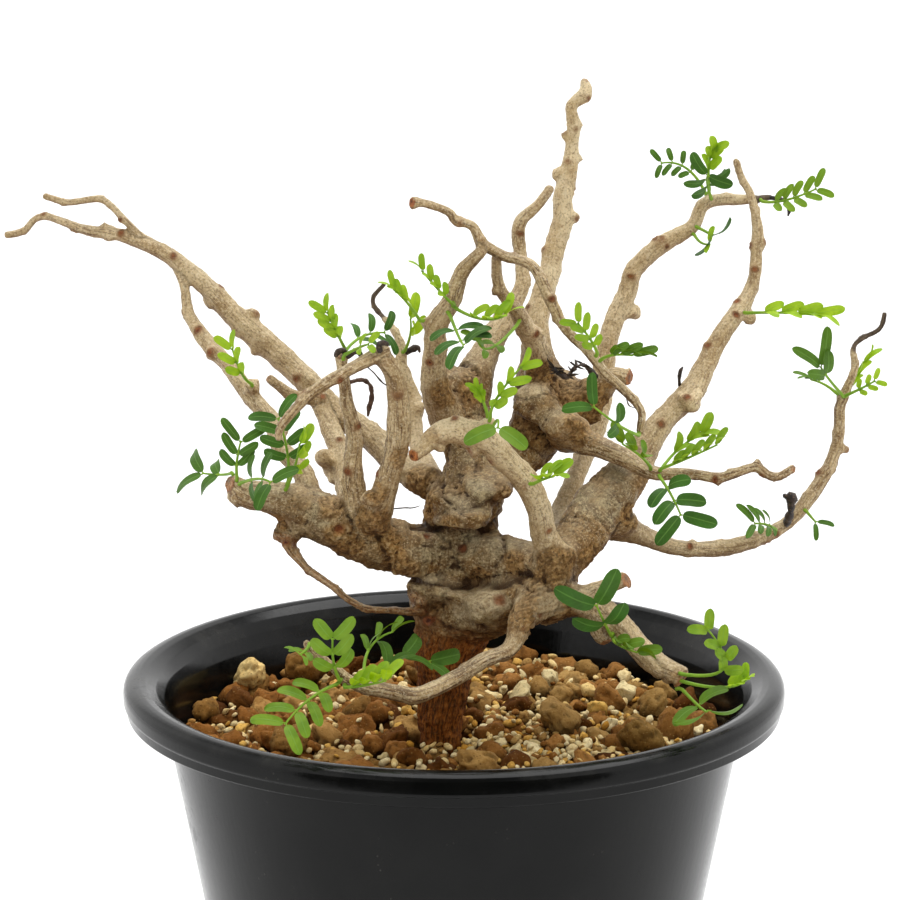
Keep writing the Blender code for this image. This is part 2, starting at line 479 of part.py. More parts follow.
# ---- the leaves ----
def leaf(start, middle, end, pairs, length, spread, fold, bare, face):
    """One compound leaf as a closed sheet: a flat stalk with leaflets in pairs, the last pair at its end."""
    found, normal, _, _ = bark_skin.find_nearest(Vector(start) * MM)
    start = found / MM + normal * LEAF_STANDOFF
    middle, end, face = Vector(middle), Vector(end), Vector(face).normalized()
    control = 2 * middle - (start + end) / 2
    size = (end - start).length
    half_step = 0.36 / max(size, 1)

    def place(t):
        return start * (1 - t) ** 2 + control * 2 * t * (1 - t) + end * t**2

    def frame(t):
        along = (control - start) * (1 - t) + (end - control) * t
        along.normalize()
        side = along.cross(face).normalized()
        return along, side, side.cross(along)

    stations = [0.0]
    joints = []
    for k in range(pairs):
        t = 1 - half_step if pairs == 1 else bare + (1 - half_step - bare) * k / (pairs - 1)
        joints.append(t)
        stations += [t - half_step, t + half_step]
    points, normals, faces = [], [], []
    for t in stations:
        along, side, up = frame(t)
        points += [place(t) - side * RACHIS_HALF, place(t) + side * RACHIS_HALF]
        normals += [up, up]
    for i in range(len(stations) - 1):
        faces.append((2 * i, 2 * i + 1, 2 * i + 3, 2 * i + 2))
    opening, folding = math.radians(spread), math.radians(fold)
    for k, t in enumerate(joints):
        along, side, up = frame(t)
        long = length * (0.8 + 0.2 * (k + 1) / pairs)
        wide = length * LEAFLET_WIDTH
        for way in (-1, 1):
            out = side * way * math.cos(folding) + up * math.sin(folding)
            reach = along * math.cos(opening) + out * math.sin(opening)
            across = (along - reach * along.dot(reach)).normalized()
            flat = across.cross(reach) * way
            if flat.dot(up) < 0:
                flat = -flat
            root = place(t) + out * RACHIS_HALF
            first = len(points)
            points += [
                root + reach * long * 0.55 - across * wide / 2,
                root + reach * long,
                root + reach * long * 0.55 + across * wide / 2,
            ]
            normals += [flat] * 3
            behind, tip, ahead = first, first + 1, first + 2
            low, high = 2 * (2 * k + 1), 2 * (2 * k + 2)
            if way > 0:
                low, high = low + 1, high + 1
                faces += [(high, low, behind), (high, behind, ahead), (ahead, behind, tip)]
            else:
                faces += [(low, high, behind), (high, ahead, behind), (ahead, tip, behind)]
    count = len(points)
    solid = [p + n * LEAF_THICKNESS / 2 for p, n in zip(points, normals)]
    solid += [p - n * LEAF_THICKNESS / 2 for p, n in zip(points, normals)]
    edges = {}
    for some in faces:
        for a, b in zip(some, some[1:] + some[:1]):
            edges[(a, b)] = True
    skin_faces = list(faces) + [tuple(i + count for i in reversed(some)) for some in faces]
    for a, b in edges:
        if (b, a) not in edges:
            skin_faces.append((b, a, a + count, b + count))
    return solid, skin_faces


for name, start, middle, end, pairs, length, spread, fold, bare, face in LEAVES:
    shape = leaf(start, middle, end, pairs, length, spread, fold, bare, face)
    new_object("leaf_" + name, *shape, GREEN_LEAF, smooth=False)


# ---- the dried remains ----
for name, run in DRIED.items():
    row = np.array(run, float)
    found, normal, _, _ = bark_skin.find_nearest(Vector(row[0, :3]) * MM)
    row[0, :3] = np.array(found / MM + normal * (row[0, 3] * 0.95 + 0.3))
    new_object(name, *tube(smooth_run(row, 1.2), 6), DRIED_HUSK)
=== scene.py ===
# %% [markdown]
# # A potted caudex plant
# One gnarled plant with many arms stands in a bed of loose clay and pumice grains, in a round
# black plastic pot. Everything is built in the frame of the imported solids: metres, +Z up, the
# origin in the middle of the pot's underside. The tables are in millimetres, and its limbs, burrs
# and stalks are where its solids have them.

import math

import bmesh
import bpy
import numpy as np
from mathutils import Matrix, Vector
from mathutils.bvhtree import BVHTree


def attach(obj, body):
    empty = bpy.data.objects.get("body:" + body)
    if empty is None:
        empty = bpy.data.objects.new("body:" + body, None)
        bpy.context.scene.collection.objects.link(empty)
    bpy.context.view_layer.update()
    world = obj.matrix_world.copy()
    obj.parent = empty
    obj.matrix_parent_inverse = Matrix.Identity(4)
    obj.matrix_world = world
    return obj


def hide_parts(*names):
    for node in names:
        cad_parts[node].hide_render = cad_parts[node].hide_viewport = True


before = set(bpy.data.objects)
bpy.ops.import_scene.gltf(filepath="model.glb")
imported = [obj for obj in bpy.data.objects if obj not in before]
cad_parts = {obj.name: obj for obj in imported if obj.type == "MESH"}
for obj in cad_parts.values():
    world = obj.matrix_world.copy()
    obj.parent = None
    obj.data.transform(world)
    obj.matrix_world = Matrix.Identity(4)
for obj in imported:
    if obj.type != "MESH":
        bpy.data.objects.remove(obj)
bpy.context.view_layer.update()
MM = 0.001
chance = np.random.default_rng(7)
print("solids in the frame:", len(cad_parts))

# %% [markdown]
# ## Measurements
# Every limb is a run of (x, y, z, radius) from where it leaves the wood to its end. Burrs are
# swellings, cut stubs and old leaf joints. A leaf row gives the start, middle and end of its stalk and
# the way its face looks, and under them: its pairs of leaflets and their length, their angle from the
# stalk and how far they are closed upwards in degrees, the share of bare stalk, how young it is
# (1 just unfolded, 0 old and dark), how wide a leaflet is for its length, and about how long its first
# pair is for its last.

# %% Measurements
LIMBS = {
    "trunk": [
        (-3, -10, 103, 3.2), (-3, -10, 112, 4.5), (-3, -10, 122, 5.2), (-2, -10, 129, 5.6),
        (-2, -10, 136, 7.2), (0, -10, 143, 8.9), (0, -9, 149, 9.6), (0, -8, 158, 9.4),
        (1, -8, 166, 8.2), (2, -8, 170, 9.1), (4, -8, 176, 7.3), (4, -6, 182, 5.8),
        (1, -4, 187, 5.8), (0, -2, 192, 6.0), (0, 0, 198, 5.8),
    ],
    "left_bough": [
        (0, -11, 160, 6.0), (-10, -14, 162, 6.0), (-18, -17, 165, 6.2), (-26, -18, 169, 6.1),
        (-33, -19, 172, 5.2), (-39, -20, 175, 4.1), (-45, -20, 176, 3.1), (-49, -20, 179, 2.0),
    ],
    "right_shoulder": [
        (0, -11, 160, 5.3), (8, -15, 161, 5.1), (16, -20, 161, 4.6), (20, -24, 160, 5.0),
    ],
    "front_collar": [
        (0, -12, 147, 7.3), (8, -18, 150, 6.6), (14, -22, 153, 5.9), (21, -25, 155, 6.5),
    ],
    "front_arch": [
        (21, -25, 155, 5.7), (21, -27, 163, 3.9), (19, -29, 170, 3.0), (18, -31, 176, 2.8),
        (15, -32, 182, 2.8), (11, -33, 187, 2.8), (7, -34, 191, 2.8), (1, -34, 193, 3.0),
        (-4, -34, 192, 2.3), (-6, -35, 190, 1.7), (-9, -36, 188, 1.5),
    ],
    "low_front_branch": [
        (19, -28, 155, 4.8), (15, -32, 151, 3.0), (12, -36, 146, 1.9), (6, -40, 144, 1.7),
        (0, -44, 141, 1.7), (-7, -47, 139, 1.8), (-13, -50, 140, 1.7), (-19, -53, 142, 1.5),
        (-25, -55, 147, 1.1), (-29, -56, 150, 0.9), (-31, -57, 153, 0.9),
    ],
    "low_right_branch": [
        (21, -26, 154, 5.2), (27, -28, 154, 3.7), (33, -31, 152, 3.0), (36, -34, 150, 2.8),
        (40, -37, 146, 2.6), (44, -40, 143, 2.6), (49, -42, 141, 2.3),
    ],
    "short_stub": [
        (28, -29, 155, 2.8), (33, -30, 158, 1.9), (37, -31, 160, 1.8),
    ],
    "low_knob": [
        (31, -30, 152, 3.0), (32, -31, 148, 2.6), (33, -32, 146, 1.7),
    ],
    "right_trunk": [
        (21, -23, 159, 5.2), (26, -19, 164, 5.5), (32, -12, 171, 6.0), (39, -6, 177, 4.9),
        (43, -2, 183, 3.6), (48, 1, 189, 2.7), (53, 4, 194, 2.9), (57, 7, 200, 2.3),
        (61, 10, 207, 2.1), (65, 13, 212, 2.0), (68, 16, 218, 1.5), (69, 18, 224, 1.4),
        (69, 19, 228, 1.4), (68, 20, 232, 1.1), (67, 21, 237, 1.0), (65, 22, 241, 0.9),
        (64, 22, 244, 0.9),
    ],
    "right_reach": [
        (32, -12, 169, 5.3), (39, -8, 165, 2.9), (46, -4, 161, 2.0), (54, -1, 159, 1.8),
        (61, 2, 158, 1.9), (69, 5, 160, 1.7), (76, 7, 163, 1.6), (81, 9, 168, 1.7),
        (85, 11, 175, 1.5), (88, 12, 182, 1.4), (88, 13, 189, 1.3), (90, 13, 195, 1.0),
        (91, 14, 198, 0.9), (91, 15, 202, 0.9), (94, 16, 204, 0.9), (97, 16, 206, 0.9),
        (98, 16, 210, 0.9),
    ],
    "mid_right_branch": [
        (24, -2, 186, 4.9), (30, -8, 185, 2.7), (38, -13, 182, 2.1), (44, -16, 180, 1.6),
        (52, -17, 180, 1.3), (59, -18, 179, 1.2), (66, -19, 182, 1.0), (70, -20, 180, 0.9),
        (74, -20, 182, 0.9),
    ],
    "back_shoulder": [
        (4, -6, 176, 6.2), (11, 0, 177, 4.9), (17, 4, 182, 6.1), (21, 7, 189, 8.1),
        (22, 8, 191, 8.1), (28, 6, 191, 6.3), (33, 4, 195, 3.4), (36, 2, 198, 2.0),
        (39, 0, 198, 1.8),
    ],
    "tall_stem": [
        (20, 10, 193, 6.8), (19, 13, 200, 4.3), (19, 17, 208, 3.0), (21, 21, 216, 2.6),
        (23, 25, 223, 2.6), (25, 27, 229, 2.5), (25, 29, 235, 2.2), (26, 30, 239, 2.1),
        (27, 32, 246, 1.6), (28, 33, 251, 1.5), (27, 34, 255, 1.4), (30, 35, 258, 1.7),
        (30, 36, 261, 0.9),
    ],
    "back_arching_stem": [
        (27, -15, 164, 4.4), (25, -6, 163, 3.6), (24, 2, 165, 2.9), (27, 8, 172, 2.3),
        (31, 15, 179, 2.3), (34, 21, 188, 2.3), (35, 26, 197, 2.5), (37, 29, 206, 2.3),
        (40, 31, 212, 2.2), (42, 32, 217, 2.1), (48, 33, 223, 2.1), (55, 34, 227, 1.7),
        (58, 35, 232, 1.6), (65, 35, 233, 1.4), (72, 35, 234, 1.0), (77, 34, 233, 0.9),
    ],
    "centre_back_stem": [
        (2, 0, 187, 5.6), (4, 4, 196, 4.7), (7, 8, 202, 3.4), (12, 12, 210, 2.5),
        (15, 15, 216, 1.8), (15, 17, 224, 1.6), (15, 18, 230, 1.6), (19, 19, 234, 1.2),
        (22, 20, 238, 1.1),
    ],
    "centre_front_stem": [
        (-1, -6, 189, 4.4), (-4, -12, 198, 3.3), (-4, -15, 207, 2.6), (-4, -17, 213, 2.5),
        (0, -19, 219, 2.0), (2, -20, 225, 1.7), (6, -22, 230, 1.3),
    ],
    "leaning_stem": [
        (19, 4, 198, 4.0), (18, -2, 206, 2.7), (14, -8, 214, 1.8), (10, -13, 220, 1.4),
        (9, -17, 228, 1.2),
    ],
    "crossing_twig": [
        (40, -26, 191, 0.9), (40, -27, 196, 0.9), (36, -27, 201, 1.1), (31, -26, 206, 1.2),
        (25, -25, 212, 1.2), (21, -23, 219, 1.4), (17, -21, 226, 1.3), (11, -19, 228, 1.2),
        (6, -20, 232, 1.3), (4, -21, 235, 1.1), (0, -22, 236, 1.0), (-1, -23, 238, 1.0),
        (-5, -24, 240, 1.0), (-9, -25, 241, 1.2),
    ],
    "long_left_bough": [
        (-5, -2, 174, 4.0), (-13, 6, 177, 3.2), (-20, 12, 183, 3.0), (-28, 16, 188, 3.0),
        (-35, 18, 195, 2.9), (-44, 20, 203, 3.0), (-53, 22, 211, 2.5), (-60, 23, 218, 2.1),
        (-67, 24, 223, 1.8), (-76, 25, 226, 1.5), (-82, 26, 227, 1.4), (-88, 26, 229, 1.1),
        (-95, 27, 230, 0.9), (-99, 27, 227, 0.9), (-103, 27, 226, 0.9),
    ],
    "bough_fork": [
        (-23, -4, 171, 3.1), (-25, 4, 178, 2.5), (-28, 10, 184, 2.3), (-31, 15, 190, 2.1),
    ],
    "upper_left_twig": [
        (-65, 24, 222, 1.6), (-71, 24, 226, 1.0), (-76, 25, 231, 0.9), (-81, 26, 234, 0.9),
        (-88, 27, 234, 0.9), (-94, 28, 235, 0.9),
    ],
    "left_stem": [
        (-32, -17, 173, 3.1), (-33, -14, 179, 2.4), (-38, -9, 184, 2.1), (-41, -3, 189, 2.1),
        (-46, 3, 194, 2.0), (-51, 9, 199, 1.9), (-56, 14, 203, 1.9), (-60, 19, 209, 1.4),
        (-62, 22, 215, 1.1), (-64, 24, 220, 1.1),
    ],
    "knobby_stem": [
        (-21, -20, 172, 3.1), (-22, -22, 182, 2.2), (-22, -23, 191, 1.8), (-23, -25, 199, 1.5),
        (-24, -26, 206, 1.3), (-24, -26, 208, 1.5),
    ],
    "strong_stem": [
        (-18, -22, 170, 3.9), (-15, -26, 178, 3.0), (-13, -28, 185, 2.6), (-12, -30, 193, 2.5),
        (-12, -31, 199, 2.3), (-13, -33, 206, 2.0), (-16, -34, 210, 1.9),
    ],
    "hanging_twig": [
        (-15, -34, 210, 1.8), (-20, -36, 208, 1.5), (-26, -38, 205, 1.4), (-31, -40, 201, 1.2),
        (-36, -42, 196, 1.0), (-37, -42, 193, 0.9),
    ],
    "pale_back_stem": [
        (-5, 4, 174, 2.7), (-8, 14, 179, 2.1), (-9, 19, 184, 1.8), (-10, 23, 190, 1.7),
        (-12, 25, 196, 1.6), (-12, 26, 200, 1.2), (-15, 28, 205, 0.9), (-19, 31, 210, 0.9),
        (-16, 33, 214, 0.9),
    ],
    "short_back_stub": [
        (-30, 14, 190, 1.6), (-36, 12, 192, 1.4), (-42, 10, 196, 1.1),
    ],
    "dry_lower_twig": [
        (-34, -18, 169, 2.4), (-36, -20, 165, 1.5), (-33, -22, 161, 1.0), (-28, -24, 157, 0.9),
        (-24, -25, 154, 0.9), (-19, -25, 152, 0.9), (-12, -22, 150, 0.9), (-5, -14, 148, 0.9),
    ],
}

BURRS = [
    (1, -20, 172, 6.6), (6, -18, 177, 5.7), (-5, -20, 154, 5.3), (6, -26, 152, 4.8),
    (-37, -20, 168, 3.1), (-48, -21, 175, 2.0), (-19, -30, 177, 2.4), (-37, -6, 187, 1.6),
    (-45, 20, 201, 2.7), (-46, 22, 209, 2.1), (-56, 23, 211, 1.9), (-55, 10, 202, 1.8),
    (-80, 26, 229, 1.0), (-79, 25, 225, 1.0), (-45, 0, 197, 2.0), (53, 0, 193, 3.1),
    (57, 9, 204, 1.4), (67, 14, 209, 2.0), (68, 16, 220, 1.4), (70, 19, 225, 1.5),
    (42, 30, 207, 1.9), (40, 32, 216, 1.4), (48, 32, 224, 1.4), (59, 35, 233, 1.6),
    (28, 27, 230, 1.4), (23, 30, 240, 1.4), (29, 32, 243, 1.1), (25, 33, 248, 1.1),
    (29, 33, 251, 1.1), (23, 24, 220, 1.4), (15, 18, 230, 1.1), (-7, -17, 214, 1.5),
    (9, -14, 220, 1.4), (19, -4, 209, 1.8), (6, -22, 232, 1.3), (21, -24, 220, 1.4),
    (-9, -25, 240, 1.3), (-8, 20, 187, 2.1), (-27, 6, 174, 3.4), (-30, 2, 179, 2.5),
    (39, 0, 198, 1.9), (8, -36, 196, 1.8), (-3, -34, 189, 1.5), (4, -34, 188, 1.7),
    (38, -31, 159, 1.5), (47, -43, 141, 1.7), (50, -43, 141, 1.6), (2, -42, 141, 1.7),
    (33, -32, 146, 1.7), (73, 6, 161, 1.4), (83, 11, 173, 1.1), (89, 12, 179, 1.1),
    (88, 13, 191, 1.4), (67, 5, 162, 1.1), (54, -1, 161, 1.1), (31, 2, 187, 3.1),
    (17, -6, 194, 5.3), (25, -8, 189, 4.9), (-19, -22, 164, 3.1), (-10, -20, 159, 3.9),
    (10, -22, 156, 3.5), (58, -18, 178, 1.0), (66, -19, 183, 1.0), (70, -20, 180, 1.0),
    (-24, -26, 208, 1.7), (-15, -35, 210, 1.9), (30, 35, 257, 1.7), (37, -10, 168, 4.0),
    (23, -26, 165, 3.7),
]

LEAVES = [
    ("low_front_a", (-26, -57, 142), (-30, -61, 142), (-35, -66, 138), (-0.2, -0.8, 0.6),
     4, 6.624, 62, 8, 0.3, 0.45, 0.38, 0.8),
    ("low_front_b", (-24, -57, 144), (-25, -61, 150), (-25, -64, 156), (0.1, -1, 0.1),
     3, 6.256, 36, 8, 0.35, 0.42, 0.44, 0.8),
    ("low_front_c", (-23, -55, 143), (-19, -58, 144), (-14, -61, 146), (0.1, -0.3, 1),
     4, 5, 42, 55, 0.25, 0.9, 0.5, 0.8),
    ("low_front_d", (-19, -50, 143), (-18, -44, 148), (-13, -38, 150), (-0.3, -0.2, 0.9),
     3, 5.1, 32, 40, 0.45, 0.3, 0.3, 0.8),
    ("low_front_e", (-16, -46, 140), (-13, -39, 144), (-5, -34, 142), (0.1, -0.7, 0.7),
     3, 6.9, 38, 25, 0.35, 0.1, 0.5, 0.8),
    ("low_front_f", (-30, -58, 153), (-31, -60, 152), (-32, -62, 152), (0, -0.7, 0.7),
     2, 2.9, 60, 0, 0.5, 0.35, 0.5, 0.8),
    ("low_right_a", (49, -46, 143), (57, -48, 145), (53, -49, 154), (0.3, -0.9, 0.2),
     4, 4.6, 36, 35, 0.45, 0.6, 0.5, 0.8),
    ("low_right_b", (50, -44, 140), (57, -46, 140), (62, -47, 142), (0, -0.5, 0.9),
     4, 3.4, 50, 50, 0.6, 1, 0.5, 0.8),
    ("low_right_c", (50, -45, 137), (52, -51, 137), (53, -56, 138), (0, -1, 0.4),
     2, 7.1, 75, 5, 0.4, 0.25, 0.5, 0.8),
    ("elbow_a", (33, -37, 148), (32, -42, 153), (30, -45, 158), (-0.1, -1, 0.1),
     2, 9, 48, 8, 0.45, 0.03, 0.44, 0.7),
    ("elbow_b", (33, -36, 147), (35, -41, 148), (39, -44, 147), (0, -0.2, 1),
     3, 4.83, 30, 60, 0.4, 0.3, 0.5, 0.8),
    ("left_end_a", (-47, -22, 180), (-47, -24, 184), (-46, -24, 189), (0, -1, 0.1),
     3, 5.51, 44, 8, 0.4, 0.08, 0.36, 0.8),
    ("left_end_b", (-48, -20, 180), (-51, -14, 179), (-56, -8, 178), (-0.3, -0.8, 0.5),
     2, 6.67, 38, 0, 0.6, 0.08, 0.46, 0.8),
    ("left_end_c", (-46, -26, 181), (-42, -31, 182), (-39, -35, 182), (0, -1, 0.35),
     3, 5.7, 70, 0, 0.3, 0.06, 0.48, 0.8),
    ("left_end_d", (-36, -22, 180), (-36, -26, 187), (-38, -24, 194), (0, -1, 0.2),
     4, 5.6, 58, 10, 0.4, 0.05, 0.42, 0.8),
    ("left_end_e", (-35, -24, 181), (-34, -30, 185), (-33, -32, 190), (1, -0.4, 0),
     3, 4.465, 26, 55, 0.35, 0.95, 0.5, 0.8),
    ("left_stem_a", (-45, -2, 197), (-47, -5, 200), (-49, -6, 206), (-0.3, -0.9, 0.3),
     3, 4.6, 34, 35, 0.5, 0.95, 0.42, 0.8),
    ("knob_a", (-23, -24, 209), (-25, -27, 213), (-27, -29, 218), (-0.2, -1, 0.2),
     4, 4.692, 30, 40, 0.4, 0.9, 0.38, 0.8),
    ("knob_b", (-23, -20, 208), (-20, -15, 210), (-15, -10, 210), (0, -0.9, 0.5),
     3, 4.8, 58, 15, 0.4, 0.03, 0.42, 0.8),
    ("knob_c", (-23, -29, 209), (-20, -33, 211), (-18, -35, 212), (0, -0.8, 0.6),
     2, 3.06, 40, 20, 0.5, 0.9, 0.5, 0.8),
    ("back_bright_a", (-11, 22, 200), (-10, 21, 204), (-10, 20, 208), (0.8, -0.7, 0),
     2, 5.33, 22, 45, 0.5, 1, 0.46, 0.8),
    ("centre_left_a", (-8, -19, 214), (-10, -19, 218), (-13, -19, 221), (0.5, -0.8, 0.4),
     3, 3.84, 28, 45, 0.55, 0.95, 0.4, 0.8),
    ("centre_up_a", (0, -24, 217), (-2, -28, 221), (-7, -30, 227), (0.5, -0.8, 0.4),
     4, 3.68, 28, 45, 0.5, 0.85, 0.42, 0.8),
    ("centre_up_b", (2, -24, 216), (6, -27, 216), (11, -28, 217), (0, -0.5, 1),
     4, 4.48, 44, 45, 0.3, 0.9, 0.42, 0.8),
    ("centre_up_c", (0, -27, 213), (1, -32, 213), (2, -36, 212), (0, -0.85, 0.55),
     3, 6.3, 72, 5, 0.3, 0, 0.46, 0.8),
    ("centre_up_d", (13, -16, 207), (8, -28, 210), (5, -31, 212), (0, -0.8, 0.6),
     3, 3.57, 40, 15, 0.4, 0.3, 0.5, 0.8),
    ("arch_a", (8, -39, 198), (9, -42, 202), (14, -44, 209), (0.3, -1, 0.1),
     4, 5, 30, 45, 0.3, 0.85, 0.4, 0.95),
    ("arch_b", (7, -35, 197), (6, -35, 200), (5, -35, 202), (-0.1, -1, 0.2),
     3, 2.99, 32, 50, 0.4, 0.9, 0.5, 0.8),
    ("arch_c", (9, -44, 193), (9, -46, 198), (9, -50, 197), (0, -0.8, 0.6),
     1, 7.02, 58, 0, 0.95, 0.35, 0.5, 0.8),
    ("arch_d", (17, -36, 182), (19, -40, 184), (21, -42, 185), (0, -0.6, 1),
     3, 5.04, 34, 40, 0.3, 0.9, 0.5, 0.8),
    ("twig_a", (31, -28, 209), (29, -30, 212), (26, -31, 216), (0.1, -1, 0.1),
     4, 3.96, 40, 30, 0.3, 0.8, 0.42, 0.8),
    ("twig_b", (32, -28, 208), (34, -31, 209), (38, -32, 209), (0, -0.5, 1),
     3, 5.2, 24, 55, 0.4, 0.2, 0.38, 0.8),
    ("twig_c", (39, -31, 190), (35, -38, 195), (29, -41, 200), (-0.1, -0.9, 0.4),
     2, 6.4, 48, 25, 0.55, 0.03, 0.38, 0.5),
    ("fork_a", (43, -19, 183), (40, -26, 186), (36, -28, 189), (0.6, -0.4, 0.8),
     3, 4.7, 32, 55, 0.4, 0.45, 0.5, 0.8),
    ("fork_b", (45, -18, 181), (50, -21, 184), (57, -24, 188), (0, -0.5, 1),
     5, 4.08, 30, 50, 0.3, 0.55, 0.4, 0.8),
    ("fork_c", (46, -12, 181), (50, -9, 184), (55, -8, 187), (0, -0.8, 0.6),
     3, 4.9, 38, 50, 0.35, 0.7, 0.5, 0.8),
    ("fork_d", (45, -20, 180), (47, -25, 177), (49, -28, 173), (0, -1, 0.15),
     3, 7.15, 58, 5, 0.3, 0, 0.44, 0.6),
    ("reach_a", (74, 0, 165), (70, -3, 165), (67, -6, 166), (0, -0.8, 0.6),
     4, 5.1, 44, 20, 0.3, 0.12, 0.32, 0.8),
    ("reach_b", (80, 6, 166), (81, 4, 165), (82, 3, 164), (0, -0.8, 0.6),
     1, 3.8, 40, 0, 0.8, 0.08, 0.34, 0.8),
    ("tip_a", (87, 8, 192), (84, 5, 197), (82, 3, 200), (0.1, -1, 0.25),
     2, 8.075, 27, 18, 0.6, 0.15, 0.32, 0.55),
    ("tip_b", (89, 14, 191), (91, 18, 193), (94, 20, 198), (0.3, -1, 0.1),
     3, 4.715, 24, 60, 0.4, 0.95, 0.35, 0.8),
    ("tip_c", (89, 10, 192), (92, 8, 194), (95, 7, 196), (0.2, -0.9, 0.4),
     3, 2.5, 40, 20, 0.4, 0.95, 0.5, 0.8),
    ("tip_d", (87, 12, 192), (84, 13, 194), (81, 13, 195), (0, -0.3, 1),
     2, 4.06, 22, 20, 0.6, 0.2, 0.3, 0.8),
    ("upper_right_a", (67, 8, 211), (73, 4, 212), (80, 1, 212), (0, -0.75, 0.7),
     4, 6.38, 19, 38, 0.25, 1, 0.36, 0.7),
    ("crown_a", (59, 31, 235), (58, 28, 238), (58, 26, 240), (0, -0.9, 0.5),
     3, 5.7, 66, 10, 0.35, 0.03, 0.5, 0.8),
    ("crown_b", (59, 36, 238), (59, 36, 241), (60, 35, 245), (0.2, -1, 0.1),
     3, 4.485, 35, 45, 0.4, 0.9, 0.5, 0.8),
    ("crown_c", (58, 38, 235), (54, 39, 240), (48, 40, 241), (0, -0.9, 0.4),
     4, 3.3, 65, 10, 0.4, 0.1, 0.42, 0.8),
    ("crown_d", (57, 31, 227), (59, 29, 226), (59, 26, 226), (-0.3, -1, 0.1),
     1, 5.4, 75, 10, 0.9, 0, 0.5, 0.8),
    ("crown_e", (56, 32, 225), (57, 29, 224), (59, 27, 224), (0, -0.7, 0.7),
     1, 3.68, 80, 25, 0.8, 0.9, 0.4, 0.8),
    ("far_right_a", (71, 31, 233), (76, 28, 234), (83, 26, 237), (0, -0.9, 0.4),
     5, 4.305, 42, 15, 0.3, 0.45, 0.4, 0.8),
]

DRIED = {
    "dried_flower_stalk": [
        (31, 2, 199, 0.9), (29, -1, 201, 0.7), (27, -3, 201, 0.7), (26, -3, 200, 0.9),
        (25, -4, 199, 1.1), (23, -5, 200, 0.9), (22, -5, 201, 1.1),
    ],
    "dried_spur": [(76, 3, 164, 0.9), (76, 2, 167, 1.1), (76, 2, 170, 1.0)],
}

# How pale and smooth the young bark of each limb is, from 0 for brown to 1 for cream.
PALE = {
    "front_arch": 0.75, "low_front_branch": 0.08, "low_right_branch": 0.3, "short_stub": 0.5,
    "right_trunk": 0.55, "right_reach": 0.4, "mid_right_branch": 0.12, "tall_stem": 1.05,
    "back_arching_stem": 0.85, "centre_back_stem": 0.5, "centre_front_stem": 0.4, "leaning_stem": 0.5,
    "crossing_twig": 0.2, "long_left_bough": 0.62, "bough_fork": 0.6, "upper_left_twig": 0.6,
    "left_stem": 0.5, "knobby_stem": 0.3, "strong_stem": 0.3, "hanging_twig": 0.25, "pale_back_stem": 0.85,
    "short_back_stub": 0.5, "dry_lower_twig": 0.0,
}
print("limbs:", len(LIMBS), "leaves:", len(LEAVES))

# %% [markdown]
# ## Small tools
# Nothing here is specific to this plant. `lattice` is a smooth random field: it is read at any
# point in space and always gives the same value there, which is what makes one bark or one stone
# differ from place to place without anything painted by hand.

# %% Small tools: random fields and runs
# Big primes, which scatter the cells of the field so that neighbours have nothing in common.
PRIMES = (374761393, 668265263, 2246822519, 3266489917)
LAST_PRIME = 1274126177
WORD = 0xFFFFFFFF


def lattice(points, seed=0):
    """A smooth random value from -1 to 1 at each point, one lump to a unit."""
    cell = np.floor(points).astype(np.int64)
    part = points - cell
    ease = part * part * (3 - 2 * part)
    total = np.zeros(len(points))
    for corner in range(8):
        step = np.array([corner & 1, (corner >> 1) & 1, (corner >> 2) & 1])
        mixed = ((cell + step) * PRIMES[:3]).sum(1) + seed * PRIMES[3]
        mixed = (mixed ^ (mixed >> 13)) & WORD
        mixed = (mixed * LAST_PRIME) & WORD
        mixed = (mixed ^ (mixed >> 16)) & WORD
        weight = np.prod(np.where(step, ease, 1 - ease), axis=1)
        total += weight * (mixed / 2**31 - 1.0)
    return total


def rough(points, seed=0, octaves=3):
    """Several sizes of the random field on top of each other."""
    total = np.zeros(len(points))
    for k in range(octaves):
        total += lattice(points * 2.03**k + 17.3 * k, seed + k) / 1.9**k
    return total


def smooth_run(points, step):
    """A run through the given points (any number of columns), bent as a springy rod would be."""
    p = np.array(points, float)
    p = np.vstack([2 * p[0] - p[1], p, 2 * p[-1] - p[-2]])
    out = []
    for i in range(1, len(p) - 2):
        a, b, c, d = p[i - 1 : i + 3]
        count = max(1, int(round(np.linalg.norm((c - b)[:3]) / step)))
        for k in range(count):
            t = k / count
            out.append(
                0.5 * ((2 * b) + (c - a) * t + (2 * a - 5 * b + 4 * c - d) * t**2
                       + (3 * b - a - 3 * c + d) * t**3)
            )
    out.append(p[-2])
    return np.array(out)


def unit(v):
    return v / np.maximum(np.linalg.norm(v, axis=-1, keepdims=True), 1e-9)


print("a random field:", lattice(np.eye(3) * 1.5).round(2))

# %% [markdown]
# ### Small tools: meshes
# A limb, a stalk and a thread are all tubes along a run of points. A stone and a burr start as a ball.
# Meshes are filled from numpy arrays, because the wood alone has over a hundred thousand points.

# %% Small tools: meshes
def frames_along(centres):
    """The direction of a run at each point, and two directions square to it that don't spin."""
    ahead = unit(np.gradient(centres, axis=0))
    side = np.empty_like(ahead)
    last = np.cross(ahead[0], (0.3, 0.2, 1.0))
    for i, direction in enumerate(ahead):
        last = last - direction * np.dot(last, direction)
        last = last / max(np.linalg.norm(last), 1e-9)
        side[i] = last
    return ahead, side, np.cross(ahead, side)


